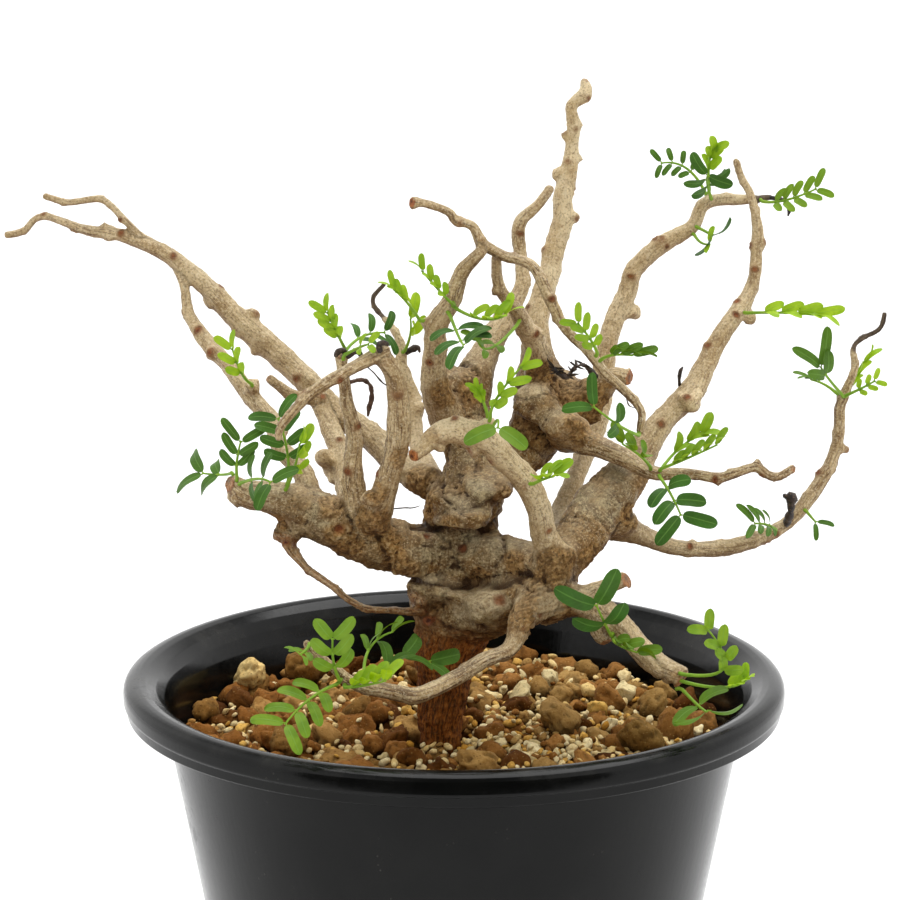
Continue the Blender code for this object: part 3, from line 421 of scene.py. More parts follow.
def tube(run, sides, blunt=0.6):
    """Points and quads of a closed tube along a run of (x, y, z, radius)."""
    centres, radii = run[:, :3], run[:, 3]
    ahead, side, other = frames_along(centres)
    angles = np.arange(sides) * 2 * math.pi / sides
    ring = side[:, None] * np.cos(angles)[None, :, None] + other[:, None] * np.sin(angles)[None, :, None]
    points = (centres[:, None] + ring * radii[:, None, None]).reshape(-1, 3)
    faces = []
    for i in range(len(centres) - 1):
        for k in range(sides):
            a, b = i * sides + k, i * sides + (k + 1) % sides
            faces.append((a, b, b + sides, a + sides))
    first = centres[0] - ahead[0] * radii[0] * blunt
    last = centres[-1] + ahead[-1] * radii[-1] * blunt
    points = np.vstack([points, first, last])
    end = (len(centres) - 1) * sides
    for k in range(sides):
        faces.append((len(points) - 2, (k + 1) % sides, k))
        faces.append((len(points) - 1, end + k, end + (k + 1) % sides))
    return points, faces


def ball(detail):
    """Points and triangles of a round ball of radius 1."""
    made = bmesh.new()
    bmesh.ops.create_icosphere(made, subdivisions=detail, radius=1.0)
    points = np.array([v.co for v in made.verts])
    faces = np.array([[v.index for v in f.verts] for f in made.faces])
    made.free()
    return points, faces


def joined(pieces):
    points, faces, shift = [], [], 0
    for some_points, some_faces in pieces:
        points.append(some_points)
        faces += [tuple(int(i) + shift for i in f) for f in some_faces]
        shift += len(some_points)
    return np.vstack(points), faces


def new_piece(name, points, faces, look=None, smooth=True):
    """One object from points in millimetres."""
    mesh = bpy.data.meshes.new(name)
    mesh.from_pydata((np.asarray(points) * MM).tolist(), [], [tuple(map(int, f)) for f in faces])
    mesh.update()
    piece = bpy.data.objects.new(name, mesh)
    bpy.context.scene.collection.objects.link(piece)
    if look:
        mesh.materials.append(look)
    if smooth:
        mesh.shade_smooth()
    return piece


def store(piece, name, values):
    """Keeps one number, or three, at every point of a piece, for its material to read."""
    values = np.asarray(values, np.float32)
    if values.ndim == 1:
        kept = piece.data.attributes.new(name, "FLOAT", "POINT")
        kept.data.foreach_set("value", values)
    else:
        kept = piece.data.attributes.new(name, "FLOAT_VECTOR", "POINT")
        kept.data.foreach_set("vector", values.reshape(-1))


def points_of(mesh):
    points = np.empty(len(mesh.vertices) * 3)
    mesh.vertices.foreach_get("co", points)
    return points.reshape(-1, 3) / MM


def finished_mesh(piece):
    """The mesh that a piece's modifiers make of it."""
    bpy.context.view_layer.update()
    return bpy.data.meshes.new_from_object(piece.evaluated_get(bpy.context.evaluated_depsgraph_get()))


def normals_of(mesh):
    normals = np.empty(len(mesh.vertices) * 3)
    mesh.vertices.foreach_get("normal", normals)
    return normals.reshape(-1, 3)


def stands_for(piece, slot, *nodes):
    """The piece belongs to the plant's one body and hides those solids; slot is not used."""
    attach(piece, "root")
    for node in nodes:
        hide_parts(node)


print("a ball has", len(ball(2)[1]), "faces")

# %% [markdown]
# ## Building materials
# A material is a tree of nodes. `fill` sets the sockets of a node in one line: a socket given as a
# value is linked, a plain number or colour is typed in. `add` makes a node and fills it. Mottling and
# dust are node groups, and they hand out only shares that change over the surface. The shader itself
# always stays in the material.

# %% Building materials: nodes
def fill(tree, node, inputs):
    """Sets sockets of a node, by links or by plain values."""
    for key, value in inputs.items():
        socket = node.inputs[key]
        if isinstance(value, bpy.types.NodeSocket):
            tree.links.new(value, socket)
        elif isinstance(value, (tuple, list)) and len(value) == 3 and socket.type == "RGBA":
            socket.default_value = (*value, 1.0)
        else:
            socket.default_value = value
    return node


def add(tree, kind, inputs=None, **settings):
    node = tree.nodes.new("ShaderNode" + kind)
    for key, value in settings.items():
        setattr(node, key, value)
    return fill(tree, node, inputs or {})


def math_of(tree, operation, a, b=0.5, c=0.5, clamp=False):
    return add(tree, "Math", {0: a, 1: b, 2: c}, operation=operation, use_clamp=clamp).outputs[0]


def times(tree, a, b, clamp=False):
    return math_of(tree, "MULTIPLY", a, b, clamp=clamp)


def mix_of(tree, share, a, b, blend="MIX"):
    return add(tree, "Mix", {0: share, 6: a, 7: b}, data_type="RGBA", blend_type=blend).outputs[2]


def step_of(tree, value, low, high, to_low=0.0, to_high=1.0):
    """A value that runs softly from one level to another between two thresholds."""
    node = add(tree, "MapRange", {"Value": value, "From Min": low, "From Max": high,
                                  "To Min": to_low, "To Max": to_high}, interpolation_type="SMOOTHSTEP")
    return node.outputs["Result"]


def noise_of(tree, where, scale, detail=3.0, roughness=0.55, distortion=0.0):
    node = add(tree, "TexNoise", {"Vector": where, "Scale": scale, "Detail": detail,
                                  "Roughness": roughness, "Distortion": distortion})
    return node.outputs["Fac"]


def attribute_of(tree, name, output="Fac"):
    return add(tree, "Attribute", attribute_name=name).outputs[output]


def new_material(name):
    made = bpy.data.materials.new(name)
    made.use_nodes = True
    shader = made.node_tree.nodes["Principled BSDF"]
    return made, made.node_tree, shader


def new_group(name, inputs, outputs):
    """A node group with plainly named sockets: each is (name, kind, default)."""
    group = bpy.data.node_groups.new(name, "ShaderNodeTree")
    for title, kind, default in inputs:
        socket = group.interface.new_socket(title, in_out="INPUT", socket_type="NodeSocket" + kind)
        if default is not None:
            socket.default_value = default
    for title, kind in outputs:
        group.interface.new_socket(title, in_out="OUTPUT", socket_type="NodeSocket" + kind)
    entry = group.nodes.new("NodeGroupInput")
    leave = group.nodes.new("NodeGroupOutput")
    return group, entry, leave


def use(tree, group, inputs):
    node = tree.nodes.new("ShaderNodeGroup")
    node.node_tree = group
    return fill(tree, node, inputs)


print("node tools ready")

# %% [markdown]
# ### Building materials: colours on top of each other
# A finish is painted as a model maker paints it: a ground colour that wanders between two paint cards,
# then coat after coat, each held back by a mask, which is a noise or a mark kept on the mesh.

# %% Building materials: coats of colour
def paint(red, green, blue):
    """A colour as it is read off a paint card, from 0 to 255, made ready for the renderer."""
    card = (red / 255, green / 255, blue / 255)
    return tuple(((c + 0.055) / 1.055) ** 2.4 if c > 0.04 else c / 12.92 for c in card)


def between(tree, share, card, other_card):
    """A colour that wanders from one paint card to another as a share goes from 0 to 1."""
    return mix_of(tree, share, paint(*card), paint(*other_card))


def coated(tree, colour, mask, share, over, blend="MIX"):
    """The colour with at most a share of another over it, as far as a mask goes."""
    return mix_of(tree, times(tree, mask, share), colour, over, blend)


def marked(tree, colour, mask, low, high, share, over, blend="MIX"):
    """The colour with another over it where a mask runs from one level to another."""
    return mix_of(tree, step_of(tree, mask, low, high, 0.0, share), colour, over, blend)


def layered(tree, colour, layers):
    """The colour under one paint after another: each is (mask, low, high, share, paint card)."""
    for mask, low, high, share, card in layers:
        colour = marked(tree, colour, mask, low, high, share, paint(*card))
    return colour


def plus(tree, value, mask, share):
    """A value with a share of a mask added to it."""
    return math_of(tree, "ADD", value, times(tree, mask, share))


def bumps_of(tree, layers):
    """Bumps on top of each other: each is (height, strength, depth in metres)."""
    normal = None
    for height, strength, depth in layers:
        bump = add(tree, "Bump", {"Height": height, "Strength": strength, "Distance": depth})
        if normal is not None:
            tree.links.new(normal, bump.inputs["Normal"])
        normal = bump.outputs[0]
    return normal


print("material tools ready, a mid grey card is", round(paint(128, 128, 128)[0], 3))

# %% [markdown]
# ### Shared effect: mottling
# No natural surface has one colour. This group gives a broad share and a fine share, each from 0 to
# 1, that bark, stones and leaves use to wander between two colours.

# %% Shared effect: mottling
mottling, way_in, way_out = new_group(
    "mottling",
    [("Where", "Vector", None), ("Broad scale", "Float", 100.0), ("Fine scale", "Float", 900.0)],
    [("Broad", "Float"), ("Fine", "Float")],
)
broad = noise_of(mottling, way_in.outputs["Where"], way_in.outputs["Broad scale"], 2.0)
fine = noise_of(mottling, way_in.outputs["Where"], way_in.outputs["Fine scale"], 4.0, 0.65)
mottling.links.new(step_of(mottling, broad, 0.38, 0.62), way_out.inputs["Broad"])
mottling.links.new(step_of(mottling, fine, 0.3, 0.7), way_out.inputs["Fine"])
print("mottling ready")

# %% [markdown]
# ### Shared effect: dust
# Dust settles on what faces up and gathers in specks. The group gives the share of dust at a point
# from the direction the surface faces and two sizes of noise.

# %% Shared effect: dust
dust, way_in, way_out = new_group(
    "dust",
    [("Where", "Vector", None), ("Amount", "Float", 0.5)],
    [("Share", "Float"), ("Specks", "Float")],
)
facing = add(dust, "SeparateXYZ", {0: add(dust, "NewGeometry").outputs["Normal"]}).outputs["Z"]
upward = step_of(dust, facing, 0.0, 1.0, 0.08, 1.0)
cloudy = step_of(dust, noise_of(dust, way_in.outputs["Where"], 60.0, 5.0, 0.6), 0.42, 0.75)
film = times(dust, times(dust, upward, cloudy), way_in.outputs["Amount"])
grain = add(dust, "TexVoronoi", {"Vector": way_in.outputs["Where"], "Scale": 620.0}).outputs["Distance"]
patchy = step_of(dust, noise_of(dust, way_in.outputs["Where"], 60.0, 4.0, 0.7), 0.56, 0.70)
specks = times(dust, step_of(dust, grain, 0.14, 0.05), patchy)
dust.links.new(film, way_out.inputs["Share"])
dust.links.new(times(dust, specks, way_in.outputs["Amount"]), way_out.inputs["Specks"])
print("dust ready")

# %% [markdown]
# ## The pot
# Cheap black plastic is nearly black and a little glossy. Handling and hard water leave it dull: a film
# of dust, specks of it, blots where a drop dried, and scratches that run down the wall.

# %% The pot: black plastic
PLASTIC, tree, shader = new_material("black_plastic")
where = add(tree, "TexCoord").outputs["Object"]
dusty = use(tree, dust, {"Where": where, "Amount": 0.35})
film, specks = dusty.outputs["Share"], dusty.outputs["Specks"]
mott = use(tree, mottling, {"Where": where, "Broad scale": 45.0, "Fine scale": 700.0})
stains = step_of(tree, noise_of(tree, where, 230.0, 2.0, 0.5), 0.58, 0.70)
stain_area = step_of(tree, noise_of(tree, where, 24.0, 1.0), 0.46, 0.60)
stained = times(tree, stains, stain_area)
colour = mix_of(tree, mott.outputs["Broad"], (0.0018, 0.0019, 0.0017), (0.0036, 0.0037, 0.0034))
colour = coated(tree, colour, film, 0.5, (0.13, 0.125, 0.11))
colour = coated(tree, colour, specks, 0.5, (0.35, 0.33, 0.28))
colour = coated(tree, colour, stained, 0.7, (0.0010, 0.0010, 0.0010))
polish = add(tree, "MapRange", {"Value": mott.outputs["Fine"], "To Min": 0.12, "To Max": 0.20})
dullness = plus(tree, plus(tree, polish.outputs["Result"], film, 0.35), stained, 0.1)
down_the_wall = add(tree, "Mapping", {"Vector": where, "Scale": (1.0, 1.0, 0.12)}).outputs[0]
scratches = noise_of(tree, down_the_wall, 900.0, 3.0, 0.7)
waves = noise_of(tree, where, 28.0, 2.0)
fill(tree, shader, {"Base Color": colour, "Roughness": dullness, "Specular IOR Level": 0.17,
                    "Normal": bumps_of(tree, [(scratches, 0.05, 0.0004), (waves, 0.25, 0.0006)])})
print("black plastic ready:", len(tree.nodes), "nodes")

# %% [markdown]
# ### The pot: its shape
# A pot like this is injection moulded: a thin tapered wall, a rim that rolls outwards, and a flared
# inner lip. It is one profile turned about its axis, the same profile as its solid but with many
# more sides, so its outline is truly round. The drainage holes are cut through the turned floor.

# %% The pot: its shape
WALL = 1.7
ROUNDING = 0.25
POT_TURNS = 160
HOLES, HOLE_RING, HOLE_RADIUS = 6, 24.0, 4.5


def wall_radius(z):
    return 43.0 + 0.187 * z


POT_PROFILE = [
    (0, 0), (9, 0), (9.6, 0.5), (10, 1.6), (36, 1.6), (36.6, 0.3), (37, 0), (42.4, 0), (43.1, 0.7),
    (wall_radius(109), 109), (65.9, 122.2), (66.5, 124.2), (68.2, 126.5), (70.6, 127.9),
    (72.2, 127.2), (72.4, 122.9), (73.7, 122.5), (74.2, 122.8), (74.3, 124.9), (74.8, 125.1),
    (75.0, 125.6), (75.0, 127.6), (74.8, 128.4), (74.3, 129.1), (73.5, 129.6), (72.6, 129.9),
    (71.5, 130.0), (70.0, 129.6), (67.6, 128.2), (65.7, 125.9), (64.5, 122.6), (63.3, 117.6),
    (62.3, 112.5), (wall_radius(5) - WALL, 4.8), (41.2, 3.4), (0, 3.4),
]


def rounded(profile, reach):
    """The profile with each corner cut back, so that no edge is a knife edge."""
    out = [profile[0]]
    for before, corner, after in zip(profile, profile[1:], profile[2:]):
        corner = np.array(corner, float)
        beside = []
        for end in (before, after):
            way = np.array(end, float) - corner
            length = np.linalg.norm(way)
            beside.append(corner + way * min(reach, length * 0.3) / max(length, 1e-9))
        blunted = corner * 0.5 + beside[0] * 0.25 + beside[1] * 0.25
        out += [tuple(beside[0]), tuple(blunted), tuple(beside[1])]
    out.append(profile[-1])
    return out


def turned(profile, sides):
    points = [(0, 0, profile[0][1]), (0, 0, profile[-1][1])]
    faces, rings = [], profile[1:-1]
    for radius, z in rings:
        for k in range(sides):
            angle = 2 * math.pi * k / sides
            points.append((radius * math.cos(angle), radius * math.sin(angle), z))
    for k in range(sides):
        after = (k + 1) % sides
        last = 2 + (len(rings) - 1) * sides
        faces += [(0, 2 + after, 2 + k), (1, last + k, last + after)]
        for i in range(len(rings) - 1):
            a, b = 2 + i * sides + k, 2 + i * sides + after
            faces.append((a, b, b + sides, a + sides))
    return np.array(points), faces


pot = new_piece("pot_body", *turned(rounded(POT_PROFILE, ROUNDING), POT_TURNS), PLASTIC)
drills = []
for k in range(HOLES):
    angle = 2 * math.pi * (k + 0.5) / HOLES
    x, y = HOLE_RING * math.cos(angle), HOLE_RING * math.sin(angle)
    drills.append(tube(np.array([(x, y, z, HOLE_RADIUS) for z in (-3, 2.0, 9)], float), 32, 0.0))
drill = new_piece("drill", *joined(drills))
cut = pot.modifiers.new("Drainage", "BOOLEAN")
cut.operation = "DIFFERENCE"
cut.solver = "EXACT"
cut.object = drill
finished = finished_mesh(pot)
pot.modifiers.clear()
pot.data = finished
bpy.data.objects.remove(drill)
stands_for(pot, "black_plastic", "pot")
print("pot faces:", len(pot.data.polygons))

# %% [markdown]
# ## The wood
# Over the years the plant was cut back again and again, so it is all elbows, burrs and stubs. The
# limbs are laid down as tubes and the burrs as balls, one skin is drawn over all of them, and then
# the skin is worked point by point, as a carver would: wrinkles round the thick parts, rough brown
# patches, swollen joints and leaf scars along the stems, and flat cut ends.

# %% The wood: one skin over all limbs
STEP, SIDES, THINNEST = 0.7, 18, 0.8
SWAY, THICKEST_WITH_JOINTS = 0.55, 4.2
NEXT_JOINT_TURN = 2.4  # each joint lies this many radians further round the stem, as leaves do
OWN_LENGTHS = 1000.0  # each limb's lengths start at its own thousand, so no two share their cracks
VOXEL = 0.52
limbs, tubes, joints = [], [], []


def travelled_along(run):
    return np.concatenate([[0], np.cumsum(np.linalg.norm(np.diff(run[:, :3], axis=0), axis=1))])


def kinked(run):
    """A stem turns a little, to one side and then another, wherever a leaf once sat on it."""
    ahead, side, other = frames_along(run[:, :3])
    travelled = travelled_along(run)
    places, sways = [0.0], [np.zeros(3)]
    reach, angle = chance.uniform(3, 8), chance.uniform(0, 2 * math.pi)
    while reach < travelled[-1] - 3:
        i = int(np.searchsorted(travelled, reach))
        if run[i, 3] < THICKEST_WITH_JOINTS:
            angle += NEXT_JOINT_TURN
            out = side[i] * math.cos(angle) + other[i] * math.sin(angle)
            sway = SWAY * min(1.0, 1.3 / run[i, 3])
            places.append(reach)
            sways.append(out * sway)
            joints.append((run[i, :3] + out * (sway + run[i, 3]), run[i, 3]))
        reach += chance.uniform(5, 7) + 1.4 * run[i, 3]
    places.append(travelled[-1])
    sways.append(np.zeros(3))
    for axis in range(3):
        run[:, axis] += np.interp(travelled, places, [sway[axis] for sway in sways])
    return run


for number, rows in enumerate(LIMBS.values()):
    run = kinked(smooth_run(rows, STEP))
    run[:, 3] = np.maximum(run[:, 3], THINNEST)
    tubes.append(tube(run, SIDES))
    along = travelled_along(run) + OWN_LENGTHS * number
    limbs.append(np.column_stack([run, *frames_along(run[:, :3]), along, np.full(len(run), number)])[::2])
limbs = np.vstack(limbs)
limb_points, limb_radii, limb_ahead, limb_side, limb_other, limb_along, limb_of = (
    part.squeeze().copy() for part in np.split(limbs, [3, 4, 7, 10, 13, 14], axis=1))
limb_of = limb_of.astype(int)


def nearest_limb_point(spot):
    return int(np.argmin(np.linalg.norm(limb_points - spot, axis=1) - limb_radii))


ball_points, ball_faces = ball(3)
for x, y, z, size in BURRS:
    # A burr is a lumpy ball, a little flat if it is big, drawn in towards the middle of its limb.
    spot = np.array((x, y, z), float)
    axis = limb_points[nearest_limb_point(spot)]
    knuckle = ball_points * (1 + 0.42 * lattice(ball_points * 1.3 + spot, 2))[:, None]
    squashed = (1.12, 1.12, 0.80) if size > 3 else (1.0, 1.0, 1.0)
    tubes.append((knuckle * squashed * size * 0.93 + spot + 0.28 * (axis - spot), ball_faces))

raw = new_piece("raw_wood", *joined(tubes))
over_all = raw.modifiers.new("One skin", "REMESH")
over_all.mode = "VOXEL"
over_all.voxel_size = VOXEL * MM
ease = raw.modifiers.new("Ease", "SMOOTH")
ease.iterations = 3
wood_mesh = finished_mesh(raw)
bpy.data.objects.remove(raw)
print("wood skin points:", len(wood_mesh.vertices), "faces:", len(wood_mesh.polygons))

# %% [markdown]
# ### The wood: where each point of the skin belongs
# A carver thinks in terms of the limb under the knife. So for each point of the skin the code looks
# up the nearest limb, how thick it is there, and where on it the point lies: round it and along it.
# The change of thickness from one limb to the next is eased, so that no line shows at a fork. The
# material needs this too, to run its fine cracks lengthwise along each twig.

# %% The wood: where each point of the skin belongs
skin, skin_normals = points_of(wood_mesh), normals_of(wood_mesh)
wood_edges = np.empty(len(wood_mesh.edges) * 2, np.int64)
wood_mesh.edges.foreach_get("vertices", wood_edges)
wood_edges = wood_edges.reshape(-1, 2)
touching = np.bincount(wood_edges.ravel(), minlength=len(skin))


def eased(values, rounds):
    """Each point's value drawn towards those of the points it is joined to."""
    for _ in range(rounds):
        total = np.bincount(wood_edges[:, 0], values[wood_edges[:, 1]], len(values))
        total += np.bincount(wood_edges[:, 1], values[wood_edges[:, 0]], len(values))
        values = 0.5 * values + 0.5 * total / touching
    return values


def soft(value, low, high):
    t = np.clip((value - low) / (high - low), 0, 1)
    return t * t * (3 - 2 * t)


nearest = np.empty(len(skin), np.int64)
for start in range(0, len(skin), 4000):
    some = skin[start : start + 4000]
    apart = (some**2).sum(1)[:, None] + (limb_points**2).sum(1)[None] - 2 * some @ limb_points.T
    nearest[start : start + 4000] = np.argmin(np.sqrt(np.maximum(apart, 0)) - limb_radii[None], axis=1)
away = skin - limb_points[nearest]
turn = np.arctan2((away * limb_other[nearest]).sum(1), (away * limb_side[nearest]).sum(1))
girth = eased(limb_radii[nearest], 8)
grain = np.stack([girth * np.cos(turn), girth * np.sin(turn),
                  limb_along[nearest] + (away * limb_ahead[nearest]).sum(1)], axis=1)
thick, middling = soft(girth, 2.6, 6.0), soft(girth, 1.2, 2.6)
limb_paleness = np.array([PALE.get(name, 0.25) for name in LIMBS])
paleness = eased(limb_paleness[limb_of[nearest]], 20)
blended = np.stack([eased(skin[:, i], 40) for i in range(3)], axis=1)
skin = skin + (blended - skin) * (0.85 * soft(girth, 2.2, 5.0))[:, None]
wood_mesh.vertices.foreach_set("co", (skin * MM).ravel())
wood_mesh.update()
skin_normals = normals_of(wood_mesh)
print("thickest limb:", round(float(girth.max()), 1), "mm, thinnest:", round(float(girth.min()), 1), "mm")

# %% [markdown]
# ### The wood: what has happened to it
# Bark keeps a record: old pruning wounds become sunk eyes, fallen leaves leave scars, old bark flakes in
# some places and is silvery in others, and a starved twig turns dark and dry. Each list gives the spots
# where that has happened, and one gives patches where light is painted pale onto the trunk.

# %% The wood: what has happened to it
EYES = [
    (10, -27, 154, 2.3), (15, -36, 150, 1.5), (3, -35, 189, 1.6), (2, -17, 163, 1.8), (-6, -17, 166, 1.6),
    (-25, -24, 169, 2.0), (15, -35, 181, 1.3), (-17, 11, 184, 1.3), (-35, -21, 165, 1.6), (6, 2, 160, 2.2),
    (47, -45, 142, 1.3), (47.5, -44, 139.5, 1.1), (19, -33, 152, 1.3), (24, -32, 161, 1.2),
    (-14, -8, 166, 1.8), (26, 13, 189, 2.4), (14, 14, 187, 2.0), (36, -7, 181, 1.8), (0, 2, 152, 2.4),
]
SCARS = [
    (-45, 20, 209), (-55, 9, 202), (-36, 15, 195), (-12, -33, 201), (-30, 13, 191), (-46, -1, 198),
    (-21, -24, 192), (48, 31, 225), (42, 28, 207), (41, 30, 216), (28, 26, 230), (18, -6, 209),
    (21, -25, 220), (68, 15, 220), (71, 18, 226), (57, 7, 204), (52, -2, 194), (46, -3, 188),
    (53, -3, 160), (73, 5, 161), (83, 10, 174), (90, 12, 179), (57, -19, 179), (-23, -24, 182),
    (-50, 20, 205), (-64, 22, 222), (-76, 24, 227), (28, 31, 250), (26, 29, 243), (15, 16, 228),
    (1, -22, 236), (2, -41, 143), (90, 11, 179), (71, 5, 159), (64, 12, 213), (47, 32, 224), (-58, 15, 206),
    (-10, 25, 195), (-5, -17, 147), (21, 24, 223), (27, 29, 236), (25, 32, 249),
]
# Where the old bark flakes, with the reach of each patch.
FLAKY = [
    (-17, -26, 170, 5), (-24, -23, 165, 5), (-12, -23, 161, 5), (-3, -24, 169, 4), (-8, -4, 176, 5),
    (-5, -36, 192, 3), (6, -18, 157, 3), (20, -32, 156, 6), (23, -30, 163, 5), (14, -35, 151, 5),
    (6, -18, 142, 6), (-3, -18, 140, 5), (23, 0, 193, 7), (19, -1, 199, 4), (29, -10, 189, 5),
    (48, -43, 141, 2.2), (39, -13, 169, 4), (-2, -14, 197, 4), (4, -5, 197, 4), (-27, -22, 174, 3),
    (-39, -21, 170, 3), (-17, -30, 178, 3), (30, -22, 162, 4), (13, -23, 162, 3), (22, 14, 186, 7),
    (-4, 4, 170, 6), (8, 4, 176, 6), (34, 0, 174, 5), (4, 2, 155, 6), (-20, -12, 166, 4),
    (20, -1, 186, 5), (30, 1, 193, 5), (15, 0, 186, 4), (33, 2, 190, 4), (-11, -30, 187, 3),
    (-8, -4, 173, 5), (-5, -12, 171, 4), (11, -20, 176, 3), (9, -15, 170, 3), (-14, -22, 166, 4),
    (23, -28, 150, 5), (4, -17, 140, 5), (34, -1, 199, 4),
    (38, -2, 199, 3), (18, -14, 187, 5), (24, -14, 185, 5), (17, -13, 192, 4), (26, -12, 192, 5),
]
# The limbs that end in a pruned face: the way that the face looks, and how fresh the cut is.
PRUNED = {
    "front_arch": (-0.5, -0.8, -0.25, 1.0), "short_stub": (0.8, -0.5, 0.3, 0.5),
    "left_bough": (-0.8, -0.5, 0.2, 0.3), "short_back_stub": (-0.8, -0.4, 0.4, 0.3),
    "mid_right_branch": (0.8, -0.6, 0.1, 0.4), "crossing_twig": (-0.8, -0.55, 0.1, 1.0),
    "low_right_branch": (0.75, -0.5, -0.4, 0.25), "back_shoulder": (0.85, -0.5, -0.1, 0.7),
    "knobby_stem": (0.0, -0.3, 1.0, 0.3), "tall_stem": (0.3, -0.3, 0.9, 0.0),
    "low_knob": (0.3, -0.5, -0.8, 0.4),
}
# Where a twig has died back: dark, thin and shrunken, with the reach of each stretch.
WITHERED = [
    (92, 15, 203, 2.4), (94, 16, 204, 2.4), (96, 16, 206, 2.6), (98, 16, 208, 2.8), (98, 16, 211, 3.0),
    (72, 34, 234, 2.6), (75, 34, 233, 3.0), (-17, 30, 208, 2.4), (-19, 31, 211, 2.6), (-17, 32, 214, 3.0),
]
# Where the old bark is whole and silvery, with the reach of each patch.
SILVER = [
    (-40, -20, 178, 6), (-30, -22, 174, 5), (3, -24, 181, 7), (6, -22, 176, 4), (3, -17, 164, 4),
    (-5, -20, 163, 4), (10, -20, 165, 4), (-4, -25, 154, 5), (8, -29, 155, 4), (15, -35, 147, 4),
    (3, -26, 153, 6), (-2, -25, 151, 4), (20, -31, 157, 3), (17, -10, 196, 4), (36, -12, 181, 6),
    (32, -17, 174, 6), (40, -9, 171, 5), (14, -34, 172, 6), (12, 2, 200, 5), (-12, 12, 186, 6),
]
# Where light is painted pale onto the old bark of the trunk, with the reach of each patch.
PAINTED_LIGHT_PATCHES = [(3, -26, 153, 7), (-3, -25, 151, 5), (9, -29, 153, 4), (20, -32, 154, 3.5), (-1, -24, 154, 4)]
# The deep folds between the rolls of the old wood: how deep, how wide, and their run over its front.
FOLDS = [
    (1.2, 0.8, [(-9, -13, 168), (-5, -16, 167), (-1, -24, 168), (3, -24, 168), (7, -16, 167),
                (10, -12, 168)]),
    (1.0, 0.8, [(-14, -22, 157), (-9, -23, 156), (-3, -22, 156), (2, -18, 155), (6, -20, 156),
                (11, -25, 157), (16, -28, 160)]),
    (0.5, 0.5, [(-3, -24, 178), (-2, -24, 175), (1, -26, 173), (6, -24, 174), (11, -21, 177)]),
    (0.5, 0.5, [(-3, -20, 190), (-1, -20, 186), (-2, -22, 181)]),
    (0.5, 0.6, [(10, -17, 167), (11, -20, 164), (9, -21, 160)]),
    (0.3, 0.5, [(2, -20, 156), (4, -28, 154), (7, -30, 151), (6, -30, 147)]),
    (0.4, 0.6, [(-8, -20, 150), (-4, -17, 147), (1, -19, 145), (10, -22, 145)]),
    (0.6, 0.6, [(-20, -25, 171), (-17, -23, 168), (-15, -23, 163), (-14, -20, 159)]),
    (0.5, 0.6, [(21, -31, 164), (19, -30, 160), (21, -32, 157)]),
    (0.4, 0.4, [(14, -30, 158), (18, -32, 157), (24, -33, 158)]),
    (0.4, 0.4, [(16, -31, 153), (20, -33, 152), (26, -33, 154)]),
    (0.4, 0.4, [(13, -31, 150), (17, -34, 149), (21, -34, 150)]),
    (0.4, 0.4, [(42, -43, 146), (45, -44, 142), (44, -43, 140)]),
    (0.4, 0.4, [(48, -45, 144), (47, -44, 141), (46, -43, 138)]),
]
print("eyes:", len(EYES), "flaky patches:", len(FLAKY), "folds:", len(FOLDS))

# %% [markdown]
# ### The wood: masks
# A mask is one number at each point of the skin, from 0 to 1: how flaky, silvery or dead it is. Relief
# and colour are held back by the same masks, so that a flake is brown exactly where it stands up.

# %% The wood: masks
def patches_of(spots):
    """How far each point of the skin lies inside one of some ragged round patches."""
    share = np.zeros(len(skin))
    for x, y, z, size in spots:
        apart = np.linalg.norm(skin - (x, y, z), axis=1) / size
        share = np.maximum(share, soft(1.25 - apart + mottled, 0.1, 0.6))
    return share


from_foot = np.hypot(skin[:, 0] + 2, skin[:, 1] + 10)
foot = soft(skin[:, 2], 148, 139) * soft(from_foot, 15, 11)
mottled = 0.35 * lattice(skin / 3.0, 13) + 0.2 * lattice(skin / 1.4, 14)
silver = np.maximum(patches_of(SILVER), 0.7 * soft(lattice(skin / 7.0, 12) + mottled, 0.1, 0.6))
flaky = 0.8 * soft(lattice(skin / 8.0, 11) + mottled, 0.30, 0.7) * thick
flaky = np.maximum(flaky, patches_of(FLAKY) * soft(girth, 1.6, 3.0))
flaky = np.maximum(flaky, foot * 0.85)
# Painted light: patches of the trunk that are painted pale, as lit.
worn = patches_of(PAINTED_LIGHT_PATCHES)
chips = skin * (0.75, 0.75, 1.0) + 0.35 * lattice(skin / 2.0, 23)[:, None]
cracks = soft(np.abs(lattice(chips, 21)), 0.22, 0.04)
cracks = np.maximum(cracks, 0.8 * soft(np.abs(lattice(chips * 1.9 + 5, 24)), 0.20, 0.04))
dead = np.zeros(len(skin))
for x, y, z, size in WITHERED:
    apart = np.linalg.norm(skin - (x, y, z), axis=1) / size
    dead = np.maximum(dead, soft(apart, 1.1, 0.75) * (girth < 1.6))
wander = 0.5 * lattice(skin / 4.5, 9)[:, None]
wrinkles = soft(np.abs(lattice(grain * (0.13, 0.13, 0.52) + wander, 16)), 0.16, 0.0)
wrinkles *= soft(lattice(skin / 6.0, 17), -0.35, 0.2)
calm = 1 - 0.5 * silver * thick
ridged = 1.15 - paleness
print("flaky share:", round(float(flaky.mean()), 2), "silvery share:", round(float(silver.mean()), 2))

# %% [markdown]
# ### The wood: relief
# The reliefs are added up in millimetres. Thick old wood gets lumps, rolls across the limb, wrinkles
# and flaky plates. Every limb gets long low ridges, strongest on brown young bark, and a fine grain.

